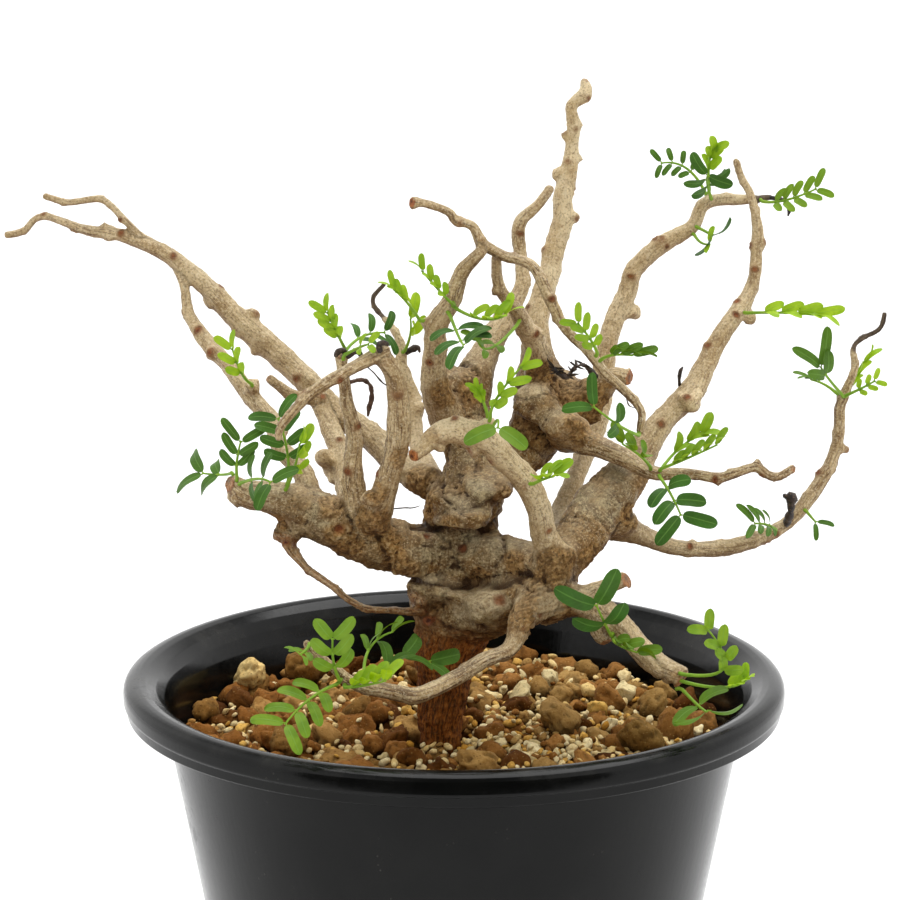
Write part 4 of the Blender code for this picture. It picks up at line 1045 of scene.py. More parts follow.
# %% The wood: relief
along_grain = grain * (1.05, 1.05, 0.12)
rolls = lattice(grain * (0.09, 0.09, 0.26) + wander, 15)
stretched = lattice(grain * (0.10, 0.10, 0.85) + 1.4 * wander, 18)
relief = thick * calm * (0.30 * rough(skin / 6.5, 1, 3) + 0.40 * rolls)
relief -= thick * calm * 0.40 * wrinkles * (1 - 0.6 * flaky)
relief += (1 - 0.7 * flaky) * thick * 0.16 * stretched
relief += middling * 0.16 * rough(skin / 3.2, 5, 2)
relief += flaky * (0.26 * lattice(chips * 1.7, 22) - 0.34 * cracks + 0.12)
relief += (0.14 + 0.12 * middling + 0.04 * thick) * ridged * lattice(along_grain, 6) * (1 - 0.6 * flaky)
relief += 0.13 * ridged * (1 - middling) * lattice(grain * (1.3, 1.3, 0.06), 19)
relief -= dead * (0.26 + 0.10 * lattice(along_grain * 1.5, 20))
relief += foot * 0.75 * lattice(grain * (0.55, 0.55, 0.09), 7)
relief += (0.06 + 0.08 * middling + 0.04 * thick) * rough(skin / 1.2, 8, 2)
print("relief:", round(float(relief.min()), 2), "to", round(float(relief.max()), 2), "mm")

# %% [markdown]
# ### The wood: scars, folds and eyes
# Where a leaf once sat there is a low cushion with a small sunk disc, at every joint and at the spots of
# the list. Folds are cut between the rolls of the trunk. An eye is a pit with a ring of healed bark.

# %% The wood: scars, folds and eyes
NO_SCAR_NEAR = 9.0


def bell(x, power=2):
    """1 at zero, falling off to 0 on both sides of it."""
    return np.exp(-(x**power))


scar, pit = np.zeros(len(skin)), np.zeros(len(skin))
scar_at = np.full(len(skin), NO_SCAR_NEAR)


def leaf_scar(centre, size, dark, raised):
    """Raises a cushion with a small sunk disc, and keeps how far each point lies from a dark one."""
    limb = nearest_limb_point(centre)
    near = np.flatnonzero(np.abs(skin - centre).max(axis=1) < 3 * size)
    away = skin[near] - centre
    long = away @ limb_ahead[limb]
    short = np.sqrt(np.maximum((away**2).sum(1) - long**2, 0))
    apart = np.sqrt(long**2 + (short / 1.2) ** 2) / size
    apart = apart * (1 + 0.25 * lattice(skin[near] * 0.9 + centre, 32))
    relief[near] += raised * size * np.exp(-(apart**2) / 1.2) - 0.34 * bell(apart / 0.5, 4)
    relief[near] += 0.12 * dark * bell((apart - 0.75) / 0.2)
    scar_at[near] = np.minimum(scar_at[near], apart + NO_SCAR_NEAR * (not dark))


for spot, radius in joints:
    leaf_scar(spot, 0.62 + 0.14 * radius, chance.choice([0, 0, 1]), 0.55 if radius < 1.8 else 0.32)
for spot in np.array(SCARS, float):
    leaf_scar(spot, 0.70 + 0.14 * limb_radii[nearest_limb_point(spot)], 1, 0.42)
folds = np.zeros(len(skin))
for depth, width, run in FOLDS:
    run = smooth_run(run, 0.5)
    near = np.flatnonzero((np.abs(skin[:, 1] - run[:, 1].mean()) < 13) & (skin_normals[:, 1] < 0.25)
                          & (np.abs(skin[:, 2] - run[:, 2].mean()) < 16))
    across = skin[near][:, None, (0, 2)] - run[None, :, (0, 2)]
    apart = np.linalg.norm(across, axis=2).min(axis=1) * (1 + 0.35 * lattice(skin[near] / 2.5, 35))
    lips = 0.3 * bell((apart - 2.4 * width) / width)
    relief[near] += depth * (lips - bell(apart / width))
    folds[near] = np.maximum(folds[near], min(1.0, depth) * bell(apart / (0.75 * width)))
for x, y, z, size in EYES:
    apart = np.linalg.norm(skin - (x, y, z), axis=1) / size
    apart = apart * (1 + 0.30 * lattice(skin / 2.2, 33))
    relief += 0.45 * bell((apart - 1.0) / 0.35) - 0.45 * bell(apart / 0.5)
    relief += 0.22 * bell((apart - 1.9) / 0.3) * soft(lattice(skin / 2.5, 31), -0.5, 0.3)
    pit = np.maximum(pit, 0.8 * bell(apart / 0.55, 4))
print("leaf scars:", len(joints) + len(SCARS), "deepest relief:", round(float(relief.min()), 2), "mm")

# %% [markdown]
# ### The wood: pruned ends and the finished skin
# Most limbs end where somebody cut them. All that lies past the cut is pushed back onto its flat face,
# which is marked as bare wood with a dark pith. The skin then moves out along its own normals by the
# relief, and the hollows are found by comparing each point with the middle of its neighbours.

# %% The wood: pruned ends and the finished skin
worked = skin + skin_normals * relief[:, None]
cut, pith = np.zeros(len(worked)), np.zeros(len(worked))
for name, (*facing, fresh) in PRUNED.items():
    x, y, z, size = LIMBS[name][-1]
    size = max(size, 1.0)
    facing = unit(np.array(facing, float))
    from_end = skin - (x, y, z)
    past = from_end @ facing
    beside = np.linalg.norm(from_end - past[:, None] * facing, axis=1)
    near = (np.linalg.norm(from_end, axis=1) < 3.2 * size) & (past > 0.1)
    dome = 0.12 * lattice(worked[near] * 1.5, 41)
    worked[near] += facing * ((dome - (worked[near] - (x, y, z)) @ facing) * 0.96)[:, None]
    face = near & (beside < 1.6 * size)
    cut[face] = (0.35 + 0.65 * fresh) * soft(beside[face], size * 1.25, size * 0.95)
    pith[face] = bell(beside[face] / (0.35 * size))
    scar[face] = np.maximum(scar[face], bell((beside[face] - 1.15 * size) / (0.2 * size)))

middle = np.stack([eased(worked[:, i], 14) for i in range(3)], axis=1)
hollow = ((middle - worked) * skin_normals).sum(1)
for i in range(3):
    middle[:, i] = eased(middle[:, i], 60)
# How sunken each point is at a broad scale: the bark paints shade there, less where light is painted.
sunken = soft(((middle - worked) * skin_normals).sum(1), -0.4, 1.6)
sunken *= 1 - worn
on_dry_twig = limb_of[nearest] == list(LIMBS).index("dry_lower_twig")
foot = np.maximum(foot, 0.45 * on_dry_twig)
print("sunken share:", round(float(sunken.mean()), 2))
corners = np.empty(len(wood_mesh.polygons) * 4, np.int64)
wood_mesh.vertices.foreach_set("co", (worked * MM).ravel())
wood_mesh.update()
wood_mesh.loops.foreach_get("vertex_index", corners)
corners = corners.reshape(-1, 4)
finished_normals = normals_of(wood_mesh)
# Which way each point faces, for the painted light on top and the painted shade below; patches of painted
# light count as facing up.
facing_up = eased(skin_normals[:, 2], 3) + 0.8 * worn
bark = BVHTree.FromPolygons((worked * MM).tolist(), corners.tolist())


def on_bark(spot):
    """The nearest place on the bark and the way it faces, in millimetres."""
    found, normal, _, _ = bark.find_nearest(Vector(spot) * MM)
    return np.array(found) / MM, np.array(normal)


# Where the bark is creased, folded or cracked; the bark paints shade into it.
crease = np.maximum(np.maximum(0.6 * thick * calm * wrinkles, folds), (0.7 * flaky + 0.08 * thick) * cracks)

# %% [markdown]
# ### Bark
# The bark reads the marks that were left on the skin, and noises of its own: those that are stretched
# along each limb make its lengthwise cracks, those across it its bands.

# %% Bark: what it reads
BARK, tree, shader = new_material("bark")
where = add(tree, "TexCoord").outputs["Object"]
grain_at = attribute_of(tree, "grain", "Vector")
marks = {name: attribute_of(tree, name) for name in (
    "thick flaky scar pit cut pith foot hollow silver crease up pale sunken dead scar_at worn").split()}
mott = use(tree, mottling, {"Where": where, "Broad scale": 120.0, "Fine scale": 900.0})
broad, fine = mott.outputs["Broad"], mott.outputs["Fine"]


def along_limb(scale, roughness=0.7):
    """Noise that is stretched along each limb by its own scales, round and along."""
    run = add(tree, "Mapping", {"Vector": grain_at, "Scale": scale}).outputs[0]
    return noise_of(tree, run, 1.0, 4.0, roughness, 0.5)


fibres, bands = along_limb((2.2, 2.2, 0.34)), along_limb((0.4, 0.4, 0.6), 0.65)
lines, rings = along_limb((1.7, 1.7, 0.10), 0.55), along_limb((0.16, 0.16, 1.0), 0.6)
speckle = noise_of(tree, where, 1500.0, 4.0, 0.75)
elsewhere = add(tree, "Mapping", {"Vector": where, "Location": (3.0, 7.0, 1.0)}).outputs[0]
stipple = noise_of(tree, elsewhere, 1900.0, 2.0, 0.6)
blotch = noise_of(tree, where, 420.0, 4.0, 0.7, 0.3)
print("the bark reads", len(marks), "marks")

# %% [markdown]
# ### Bark: young
# Young bark is a smooth tan, brown on some limbs and cream on others. Fine dark cracks run along it
# with pale edges beside them, in stripes here and there, and brown limbs have more of them.

# %% Bark: young
ridges = math_of(tree, "SUBTRACT", 1.15, times(tree, marks["pale"], 0.8))
striped = step_of(tree, noise_of(tree, where, 70.0, 2.0), 0.40, 0.58, 0.25, 1.0)
striped = times(tree, striped, ridges, clamp=True)
lined = math_of(tree, "SUBTRACT", 1.1, times(tree, marks["pale"], 1.5), clamp=True)
brown_bark = between(tree, broad, (164, 132, 86), (196, 164, 114))
cream_bark = between(tree, broad, (206, 178, 130), (236, 214, 170))
young = mix_of(tree, marks["pale"], brown_bark, cream_bark)
young = marked(tree, young, bands, 0.52, 0.68, 0.35, paint(146, 106, 64))
for noise, low, high, share, kept_to, card in [
    (fibres, 0.52, 0.60, 0.90, striped, (96, 62, 34)), (fibres, 0.48, 0.40, 0.80, striped, (232, 212, 172)),
    (lines, 0.53, 0.60, 0.85, lined, (92, 60, 34)), (lines, 0.46, 0.39, 0.60, lined, (226, 204, 162)),
]:
    young = coated(tree, young, step_of(tree, noise, low, high, 0.0, share), kept_to, paint(*card))
young = layered(tree, young, [
    (stipple, 0.55, 0.64, 0.50, (118, 80, 44)), (stipple, 0.45, 0.36, 0.55, (236, 218, 182)),
    (speckle, 0.58, 0.68, 0.65, (84, 50, 24)), (speckle, 0.42, 0.32, 0.60, (240, 226, 196)),
])
print("young bark ready:", len(tree.nodes), "nodes so far")

# %% [markdown]
# ### Bark: old
# Old bark is silvery where it is whole, brown where it isn't, and shows fresh brown under its flakes.

# %% Bark: old
brown_old = between(tree, broad, (132, 96, 50), (164, 126, 74))
silvery = between(tree, fine, (150, 130, 92), (190, 172, 132))
old = mix_of(tree, marks["silver"], brown_old, silvery)
old = layered(tree, old, [
    (rings, 0.50, 0.62, 0.60, (100, 68, 32)), (rings, 0.44, 0.34, 0.40, (206, 184, 138)),
    (blotch, 0.50, 0.62, 0.65, (100, 66, 28)), (blotch, 0.43, 0.32, 0.50, (200, 178, 132)),
    (stipple, 0.56, 0.64, 0.45, (84, 54, 24)), (stipple, 0.45, 0.37, 0.60, (222, 200, 156)),
    (speckle, 0.54, 0.64, 0.85, (54, 32, 12)),
])
colour = mix_of(tree, marks["thick"], young, old)
flaked = layered(tree, between(tree, fine, (134, 92, 46), (190, 146, 88)), [
    (stipple, 0.46, 0.38, 0.60, (206, 168, 106)), (speckle, 0.54, 0.64, 0.70, (190, 152, 94)),
    (speckle, 0.46, 0.36, 0.85, (46, 24, 6)),
])
colour = coated(tree, colour, marks["flaky"], 0.85, flaked)
print("old bark ready:", len(tree.nodes), "nodes so far")

# %% [markdown]
# ### Bark: painted light and shade
# Light and shade are painted into the bark's colour: what faces up is painted paler, as lit from above. What
# faces down, the sunken places and the hollows between ridges are painted darker, as shade, and what stands
# proud is painted paler, as a highlight.

# %% Bark: painted light and shade
# Painted light: bark that faces up is painted paler. Painted shade: bark that faces down is painted darker.
colour = marked(tree, colour, marks["up"], 0.2, 0.95, 0.22, paint(226, 212, 176))
colour = marked(tree, colour, marks["up"], 0.0, -0.8, 0.75, (0.40, 0.27, 0.15), "MULTIPLY")
# Painted shade: the sunken places of thick wood are painted darker.
recess_shade = times(tree, marks["sunken"], marks["thick"])
colour = coated(tree, colour, recess_shade, 0.62, (0.36, 0.22, 0.10), "MULTIPLY")
# Painted shade: the hollows between ridges, the creases and the folds are painted dark brown; dark cracks in
# flaky bark are partly their own colour.
deep = step_of(tree, marks["hollow"], 0.02, 0.30)
deep = times(tree, deep, math_of(tree, "ADD", marks["thick"], 0.35, clamp=True))
deep = math_of(tree, "MAXIMUM", deep, marks["crease"])
colour = coated(tree, colour, deep, 0.85, paint(48, 25, 8))
# Painted highlight: bark that stands proud on thick wood is painted paler.
proud = times(tree, step_of(tree, marks["hollow"], -0.12, -0.5), marks["thick"])
colour = coated(tree, colour, proud, 0.32, paint(228, 204, 154))
print("dirt and light ready:", len(tree.nodes), "nodes so far")

# %% [markdown]
# ### Bark: foot, scars and cuts
# The foot sat in damp grit and is rusty, light is painted pale onto patches of the trunk, and a dead twig is
# dark.
# A leaf scar is a brown disc with a dark middle in a paler ring. A pruned face is orange brown bare
# wood round a dark pith.

# %% Bark: foot, scars and cuts
rusty = layered(tree, between(tree, fine, (104, 48, 12), (172, 98, 34)), [
    (fibres, 0.50, 0.58, 0.80, (40, 16, 5)), (fibres, 0.46, 0.38, 0.60, (186, 122, 60)),
])
colour = coated(tree, colour, marks["foot"], 0.88, rusty)
# Painted light: the pale bark painted where light falls on the trunk.
lit_bark = layered(tree, between(tree, fine, (172, 148, 108), (214, 194, 156)), [
    (stipple, 0.52, 0.62, 0.70, (150, 118, 76)), (speckle, 0.56, 0.66, 0.70, (96, 62, 34)),
])
colour = coated(tree, colour, marks["worn"], 0.70, lit_bark)
scarred = between(tree, fine, (92, 54, 28), (148, 104, 62))
colour = coated(tree, colour, marks["scar"], 0.9, scarred)
sunk = between(tree, fine, (112, 54, 26), (166, 100, 58))
from_scar = marks["scar_at"]
for ragged, share in [(blotch, 0.30), (speckle, 0.50), (marks["pale"], 0.35)]:
    from_scar = plus(tree, from_scar, ragged, share)
colour = marked(tree, colour, from_scar, 1.95, 1.35, 0.55, paint(150, 106, 66))
colour = marked(tree, colour, from_scar, 1.40, 1.25, 0.75, scarred)
colour = marked(tree, colour, from_scar, 1.12, 0.98, 0.85, sunk)
colour = marked(tree, colour, from_scar, 0.86, 0.70, 0.85, paint(58, 24, 12))
colour = coated(tree, colour, marks["pit"], 0.92, sunk)
bare_wood = layered(tree, between(tree, fine, (150, 74, 28), (204, 128, 66)), [
    (speckle, 0.54, 0.64, 0.60, (92, 40, 14)),
])
bare_wood = mix_of(tree, marks["pith"], bare_wood, paint(70, 28, 12))
colour = mix_of(tree, marks["cut"], colour, bare_wood)
dry = layered(tree, between(tree, fine, (62, 48, 38), (112, 92, 74)), [
    (lines, 0.48, 0.58, 0.80, (36, 26, 20)),
])
colour = coated(tree, colour, marks["dead"], 0.92, dry)
whole = math_of(tree, "SUBTRACT", marks["flaky"], times(tree, marks["silver"], 0.3))
cracked = bumps_of(tree, [
    (fibres, 0.8, 0.0005), (lines, 0.7, 0.0006), (blotch, 0.8, 0.0006), (speckle, 0.9, 0.0004),
])
fill(tree, shader, {"Base Color": colour, "Roughness": step_of(tree, whole, -0.3, 1.0, 0.42, 0.9),
                    "Specular IOR Level": 0.28, "Normal": cracked})
print("bark ready:", len(tree.nodes), "nodes")

# %% [markdown]
# ### The wood: two pieces in one skin
# The skin is handed out as a low and a high piece, each with its share of the marks. They meet on a
# seam at one height, and share their normals, so that the seam can't be seen.

# %% The wood: two pieces in one skin
SEAM = 176
KEPT_MARKS = {
    "grain": grain, "thick": thick, "flaky": flaky, "scar": scar, "pit": pit, "cut": cut, "pith": pith,
    "foot": foot, "hollow": hollow, "silver": silver, "crease": crease * (1 - 0.6 * worn), "dead": dead,
    "scar_at": scar_at, "worn": worn, "up": facing_up, "pale": paleness, "sunken": sunken,
}


def part_of_wood(name, chosen):
    used, numbers = np.unique(corners[chosen], return_inverse=True)
    piece = new_piece(name, worked[used], numbers.reshape(-1, 4), BARK)
    piece.data.normals_split_custom_set_from_vertices(finished_normals[used].tolist())
    for title, values in KEPT_MARKS.items():
        store(piece, title, values[used])
    stands_for(piece, "bark", "wood")


low = skin[corners].mean(axis=1)[:, 2] < SEAM
part_of_wood("wood_low", low)
part_of_wood("wood_high", ~low)
print("wood faces:", int(low.sum()), "and", int((~low).sum()))

# %% [markdown]
# ## The gravel
# The plant grows in a loose mix: fired orange clay, grey-brown pumice, and some cream grit. Each stone
# has a shape of its own: a ball that is squashed, cut by a handful of flat planes, as broken stone is,
# and then pitted. They are dropped from big to small on a map of heights, each where it lies lowest
# out of a few tries, which fills the gaps between the big ones with small ones as shaking does.

# %% The gravel: a map of heights
EDGE, CELL = 66, 0.5
BED_LEVEL = 110.5
TRUNK_AT, TRUNK_GIRTH, TRUNK_LEVEL = (-3, -10), 5.0, 140.0
FLATTENED = 0.8  # a lying stone is this much lower than it is wide
reach = np.arange(-EDGE, EDGE, CELL)
level = np.full((len(reach), len(reach)), BED_LEVEL)
level += 0.8 * np.sin(0.31 * reach)[:, None] + 0.8 * np.cos(0.27 * reach)[None]
trunk_apart = np.hypot(reach[:, None] - TRUNK_AT[0], reach[None] - TRUNK_AT[1])
level[trunk_apart < TRUNK_GIRTH] = TRUNK_LEVEL
stones = []


def drop(size, kind, spots, highest=121.0, sink=0.12):
    """Lets a stone of this radius fall at the best of some spots, and raises the map under it."""
    best = None
    half = int(size / CELL) + 1
    for x, y in spots:
        i, j = int((x + EDGE) / CELL), int((y + EDGE) / CELL)
        near = level[i - half : i + half + 1, j - half : j + half + 1]
        gx, gy = np.meshgrid(np.arange(-half, half + 1), np.arange(-half, half + 1), indexing="ij")
        inside = (gx**2 + gy**2) * CELL**2 / size**2
        if near.shape != inside.shape:
            continue
        bowl = np.where(inside < 0.8, np.sqrt(np.maximum(1 - inside, 0)) * size * FLATTENED, -99)
        rest = np.quantile((near + bowl)[inside < 0.8], 0.9)
        if best is None or rest < best[0]:
            best = (rest, x, y, near, bowl, inside)
    if best is None:
        return
    rest, x, y, near, bowl, inside = best
    centre = rest - sink * size
    if centre + size * FLATTENED > highest:
        return
    near[inside < 0.8] = np.maximum(near, centre + bowl)[inside < 0.8]
    stones.append((x, y, centre, size, kind))


print("map of heights:", level.shape, "from", round(level.min(), 1), "mm")

# %% [markdown]
# ### The gravel: pouring and placing
# Clay and pumice go in first, from 5 mm radius down. The cream grit is poured last, in front and to the
# right of the stem. A few loose stones that catch the eye are placed one by one at the end.

# %% The gravel: pouring and placing
POT_INNER = 61.6


def in_grit(x, y):
    """How much of the cream grit was poured at a spot."""
    return math.exp(-(((x - 27) / 20) ** 2) - ((y + 27) / 27) ** 2)


def spots_in_pot(size, tries, grit=False):
    out = []
    while len(out) < tries:
        x, y = chance.uniform(-61, 61, 2)
        beside_trunk = np.hypot(x - TRUNK_AT[0], y - TRUNK_AT[1]) < 4.6 + size
        if np.hypot(x, y) > POT_INNER - 0.85 * size or beside_trunk:
            continue
        if grit and chance.random() > in_grit(x, y) + 0.07:
            continue
        out.append((x, y))
    return out


def kind_of(shares):
    return chance.choice(list(shares), p=list(shares.values()))


for size, many in [(5.0, 34), (4.4, 70), (3.8, 120), (3.2, 190)]:
    for _ in range(many):
        kind = kind_of({"clay": 0.50, "pumice": 0.36, "dark": 0.12, "cream": 0.02})
        spots = [s for s in spots_in_pot(size, 6) if chance.random() > 0.7 * in_grit(*s)]
        drop(size * chance.uniform(0.9, 1.1), kind, spots, chance.uniform(118.8, 120.8))
for size, many in [(2.6, 200), (2.0, 240)]:
    for _ in range(many):
        kind = kind_of({"clay": 0.42, "pumice": 0.36, "dark": 0.12, "cream": 0.06, "pale": 0.04})
        drop(size * chance.uniform(0.85, 1.15), kind, spots_in_pot(size, 8), 117.6)
for size, many in [(2.0, 70), (1.5, 160), (1.1, 620), (0.8, 1100)]:
    for _ in range(many):
        kind = kind_of({"clay": 0.10, "pumice": 0.10, "cream": 0.48, "pale": 0.12, "gold": 0.20})
        spots = spots_in_pot(size, 3, grit=True)
        piled = 117.6 + 2.4 * max(in_grit(*spot) for spot in spots)
        drop(size * chance.uniform(0.8, 1.2), kind, spots, piled, 0.15)
for x, y, size, kind in [
    (-48.5, 28, 4.6, "cream"), (15.5, 19, 3.0, "pale"), (32, 21, 2.7, "cream"), (40, 22, 3.0, "pale"),
    (23, 32, 2.8, "pale"), (33, 4, 2.7, "gold"), (-35, 33, 5.0, "pumice"), (-20, -52, 3.0, "cream"),
    (42, -22, 5.0, "pumice"), (50, -10, 4.6, "clay"), (24, -8, 4.4, "pumice"), (-37, -20, 4.6, "pumice"),
    (5, -36, 4.4, "pumice"), (36, 12, 4.0, "clay"), (46, 10, 4.4, "pumice"), (-24, -38, 4.2, "clay"),
]:
    drop(size, kind, [(x, y)], 129.0, 0.5)
print("stones:", len(stones), "highest:", round(max(s[2] + s[3] * FLATTENED for s in stones), 1), "mm")

# %% [markdown]
# ### The gravel: cutting the stones
# A stone's colour is its own, a draw between two shades of its kind, with painted shade on its lower half
# and in its pits, and is kept at its points for the material to read. Big stones get more faces than grit,
# because their pits can be seen.

# %% The gravel: cutting the stones
SHADES = {
    "clay": ((128, 84, 36), (174, 122, 64)), "pumice": ((140, 104, 52), (186, 146, 86)),
    "dark": ((78, 44, 14), (112, 70, 28)), "cream": ((244, 210, 136), (255, 240, 192)),
    "pale": ((208, 186, 132), (240, 222, 170)), "gold": ((206, 150, 60), (236, 192, 104)),
}
ANGULAR = ("cream", "pale", "gold")
LUMPINESS = {"clay": 0.26, "pumice": 0.24, "dark": 0.26}
PITTED_FROM = 1.5
OFF_WALL = WALL + 0.15
balls = {detail: ball(detail) for detail in (2, 3, 4)}


def cut_stone(x, y, z, size, kind):
    points, faces = balls[4 if size > 4.2 else 3 if size > 1.6 else 2]
    chip, pitted = kind in ANGULAR, size > PITTED_FROM
    if chip:
        stretch = chance.uniform((0.90, 0.76, 0.62), (1.25, 1.0, 0.86))
    else:
        stretch = chance.uniform((0.94, 0.86, 0.76), (1.12, 1.0, 0.92))
    shift = chance.uniform(-99, 99, 3)
    shape = points.copy()
    for plane in unit(chance.normal(size=(7 if chip else 5, 3))):
        over = shape @ plane - chance.uniform(0.52 if chip else 0.74, 0.92)
        shape -= plane * (np.maximum(over, 0) * (0.85 if chip else 0.55))[:, None]
    bumps = LUMPINESS.get(kind, 0.22) * lattice(points * 1.5 + shift, 3)
    bumps = bumps + 0.12 * lattice(points * 3.0 + shift, 4)
    pits = soft(lattice(points * size * 0.95 + shift, 6), 0.15, 0.65)
    if pitted:
        bumps += (0.62 / size) * (0.62 * lattice(points * size * 1.35 + shift, 5) - 0.85 * pits)
    shape = shape * (1 + bumps)[:, None] * stretch * size
    spin, tip = chance.uniform(0, 2 * math.pi), chance.normal(0, 0.25, 2)
    c, s = math.cos(spin), math.sin(spin)
    shape = shape @ np.array([[c, s, 0], [-s, c, 0], [0, 0, 1]])
    shape = shape + np.outer(shape @ (tip[0], tip[1], 0), (0, 0, 1.0))
    first, second = SHADES[kind]
    shade = np.array(paint(*first)) + (np.array(paint(*second)) - paint(*first)) * chance.random()
    # The clay and pumice are a little redder to the left and paler to the right. The lower half of a
    # stone and its pits are painted darker: painted shade.
    warm = 1 + np.clip(-x / 50, -1, 1) * np.array([-0.02, -0.09, -0.16]) * (kind in ("clay", "pumice"))
    lowered = soft(shape[:, 2] / size, -0.55, 0.35)
    low_and_pit_shade = (0.22 + 0.78 * lowered) * (1 - 0.5 * pits * pitted)
    if kind in ("cream", "pale"):
        low_and_pit_shade = 0.5 + 0.5 * low_and_pit_shade
    # What would stand in the pot's wall is pushed back from it.
    shape = shape + (x, y, z)
    past_wall = np.hypot(shape[:, 0], shape[:, 1]) / (wall_radius(shape[:, 2]) - OFF_WALL)
    shape[:, :2] /= np.maximum(past_wall, 1)[:, None]
    return shape, faces, shade * warm * low_and_pit_shade[:, None]


cut_stones = [cut_stone(*stone) for stone in stones]
print("stones cut:", len(cut_stones))

# %% [markdown]
# ### The gravel: its look
# Every stone brings its own shade. The material darkens it in patches and scatters pale crumbs and dark
# holes over it. Neither clay nor pumice has any gloss.

# %% The gravel: its look
GRAVEL, tree, shader = new_material("gravel")
where = add(tree, "TexCoord").outputs["Object"]
mott = use(tree, mottling, {"Where": where, "Broad scale": 300.0, "Fine scale": 1500.0})
broad, fine = mott.outputs["Broad"], mott.outputs["Fine"]
crumbs = add(tree, "TexVoronoi", {"Vector": where, "Scale": 1150.0}).outputs["Distance"]
holes = add(tree, "TexVoronoi", {"Vector": where, "Scale": 720.0}).outputs["Distance"]
colour = attribute_of(tree, "shade", "Color")
colour = marked(tree, colour, broad, 0.3, 1.0, 0.45, (0.70, 0.62, 0.50), "MULTIPLY")
colour = marked(tree, colour, fine, 0.55, 1.0, 0.5, (0.52, 0.42, 0.30), "MULTIPLY")
colour = layered(tree, colour, [
    (crumbs, 0.22, 0.10, 0.35, (216, 178, 112)), (holes, 0.20, 0.07, 0.60, (60, 36, 20)),
])
gritty = bumps_of(tree, [(noise_of(tree, where, 1900.0, 4.0, 0.7), 0.9, 0.0004)])
fill(tree, shader, {"Base Color": colour, "Roughness": step_of(tree, fine, 0.0, 1.0, 0.8, 0.97),
                    "Specular IOR Level": 0.12, "Normal": gritty})
GRIT_BELOW, THIRDS, GRIT_MIDDLE = 2.4, 20, 15
groups = {name: [] for name in ("gravel_left", "gravel_middle", "gravel_right", "grit_left", "grit_right")}
for (x, _, _, size, _), made in zip(stones, cut_stones):
    if size < GRIT_BELOW:
        name = "grit_left" if x < GRIT_MIDDLE else "grit_right"
    else:
        name = "gravel_left" if x < -THIRDS else "gravel_right" if x > THIRDS else "gravel_middle"
    groups[name].append(made)
for name, made in groups.items():
    piece = new_piece(name, *joined([(m[0], m[1]) for m in made]), GRAVEL)
    store(piece, "shade", np.vstack([m[2] for m in made]))
    stands_for(piece, "gravel", "gravel")
    print(name, len(made), "stones,", len(piece.data.polygons), "triangles")

# %% [markdown]
# ### The gravel: the bed below
# Under the top layers nothing can be seen but the fines between the stones, and the stones that
# show at the drainage holes. Their near black brown is partly their own colour and partly painted shade in
# the gaps. One turned body fills the pot from just over its floor.

# %% The gravel: the bed below
BED_OFF_WALL, BED_TOP, BED_FLOOR = WALL + 0.35, 111.5, 3.7
rows = [(0, BED_FLOOR), (40.6, BED_FLOOR), (wall_radius(5) - BED_OFF_WALL, 5.3)]
rows += [(wall_radius(109) - BED_OFF_WALL, 109)]
rows += [(r, BED_TOP + 0.5 * math.sin(r)) for r in (60, 56, 50, 44, 38, 32, 26, 20, 14, 8)] + [(0, BED_TOP)]
bed_points, bed_faces = turned(rows, 128)
bed_points = bed_points.astype(float)
lifted = bed_points[:, 2] > 110
bed_points[lifted, 2] += 1.0 * lattice(bed_points[lifted] / 2.2, 51)
lowest = bed_points[:, 2] < 4.2
bed_points[lowest, 2] += 0.25 * lattice(bed_points[lowest] * 0.4 + 7, 52)
bed = new_piece("gravel_bed", bed_points, bed_faces, GRAVEL)
# Painted shade: the bed is near black brown so that the gaps between the stones read as shadowed.
speck = (0.5 + 0.5 * lattice(bed_points / 3.0, 53))[:, None]
store(bed, "shade", np.array(paint(34, 20, 10)) * (1 - speck) + np.array(paint(66, 42, 22)) * speck)
stands_for(bed, "gravel", "gravel")
print("bed faces:", len(bed.data.polygons))

# %% [markdown]
# ## The leaves
# Each leaf is a thin stalk with blunt oblong leaflets in pairs, the last pair at its very end. A leaflet
# is dark green, or yellow green if it has just unfolded, with a paler midrib, paler veins, edge and
# underside. Light shines through it a little, so a share of the shader is translucent.

# %% The leaves: green
LEAF, tree, shader = new_material("green_leaf")
where = add(tree, "TexCoord").outputs["Object"]
blade = add(tree, "SeparateXYZ", {0: attribute_of(tree, "blade", "Vector")})
along, across, draw = blade.outputs["X"], blade.outputs["Y"], blade.outputs["Z"]
age = attribute_of(tree, "young")
underside = add(tree, "NewGeometry").outputs["Backfacing"]
mott = use(tree, mottling, {"Where": where, "Broad scale": 260.0, "Fine scale": 1400.0})
dark_green = between(tree, mott.outputs["Broad"], (8, 50, 14), (24, 76, 22))
fresh_green = between(tree, mott.outputs["Broad"], (146, 184, 14), (182, 212, 44))
sides = math_of(tree, "ABSOLUTE", across)
midrib = step_of(tree, sides, 0.13, 0.02)
slant = times(tree, along, 46.0)
slant = math_of(tree, "SUBTRACT", slant, times(tree, sides, 9.0))
veins = step_of(tree, math_of(tree, "SINE", slant), 0.72, 1.0, 0.0, 0.22)
colour = mix_of(tree, age, dark_green, fresh_green)
colour = marked(tree, colour, draw, 0.0, 1.0, 0.12, paint(120, 168, 24))
colour = coated(tree, colour, midrib, 0.45, paint(130, 176, 80))
colour = marked(tree, colour, sides, 0.9, 1.0, 0.22, paint(140, 180, 70))
colour = coated(tree, colour, veins, 0.4, paint(96, 150, 60))
colour = coated(tree, colour, underside, 0.30, paint(104, 146, 70))
ribs = plus(tree, times(tree, midrib, 1.5), veins, 2.0)
ribs = math_of(tree, "SUBTRACT", times(tree, mott.outputs["Fine"], 0.3), ribs)
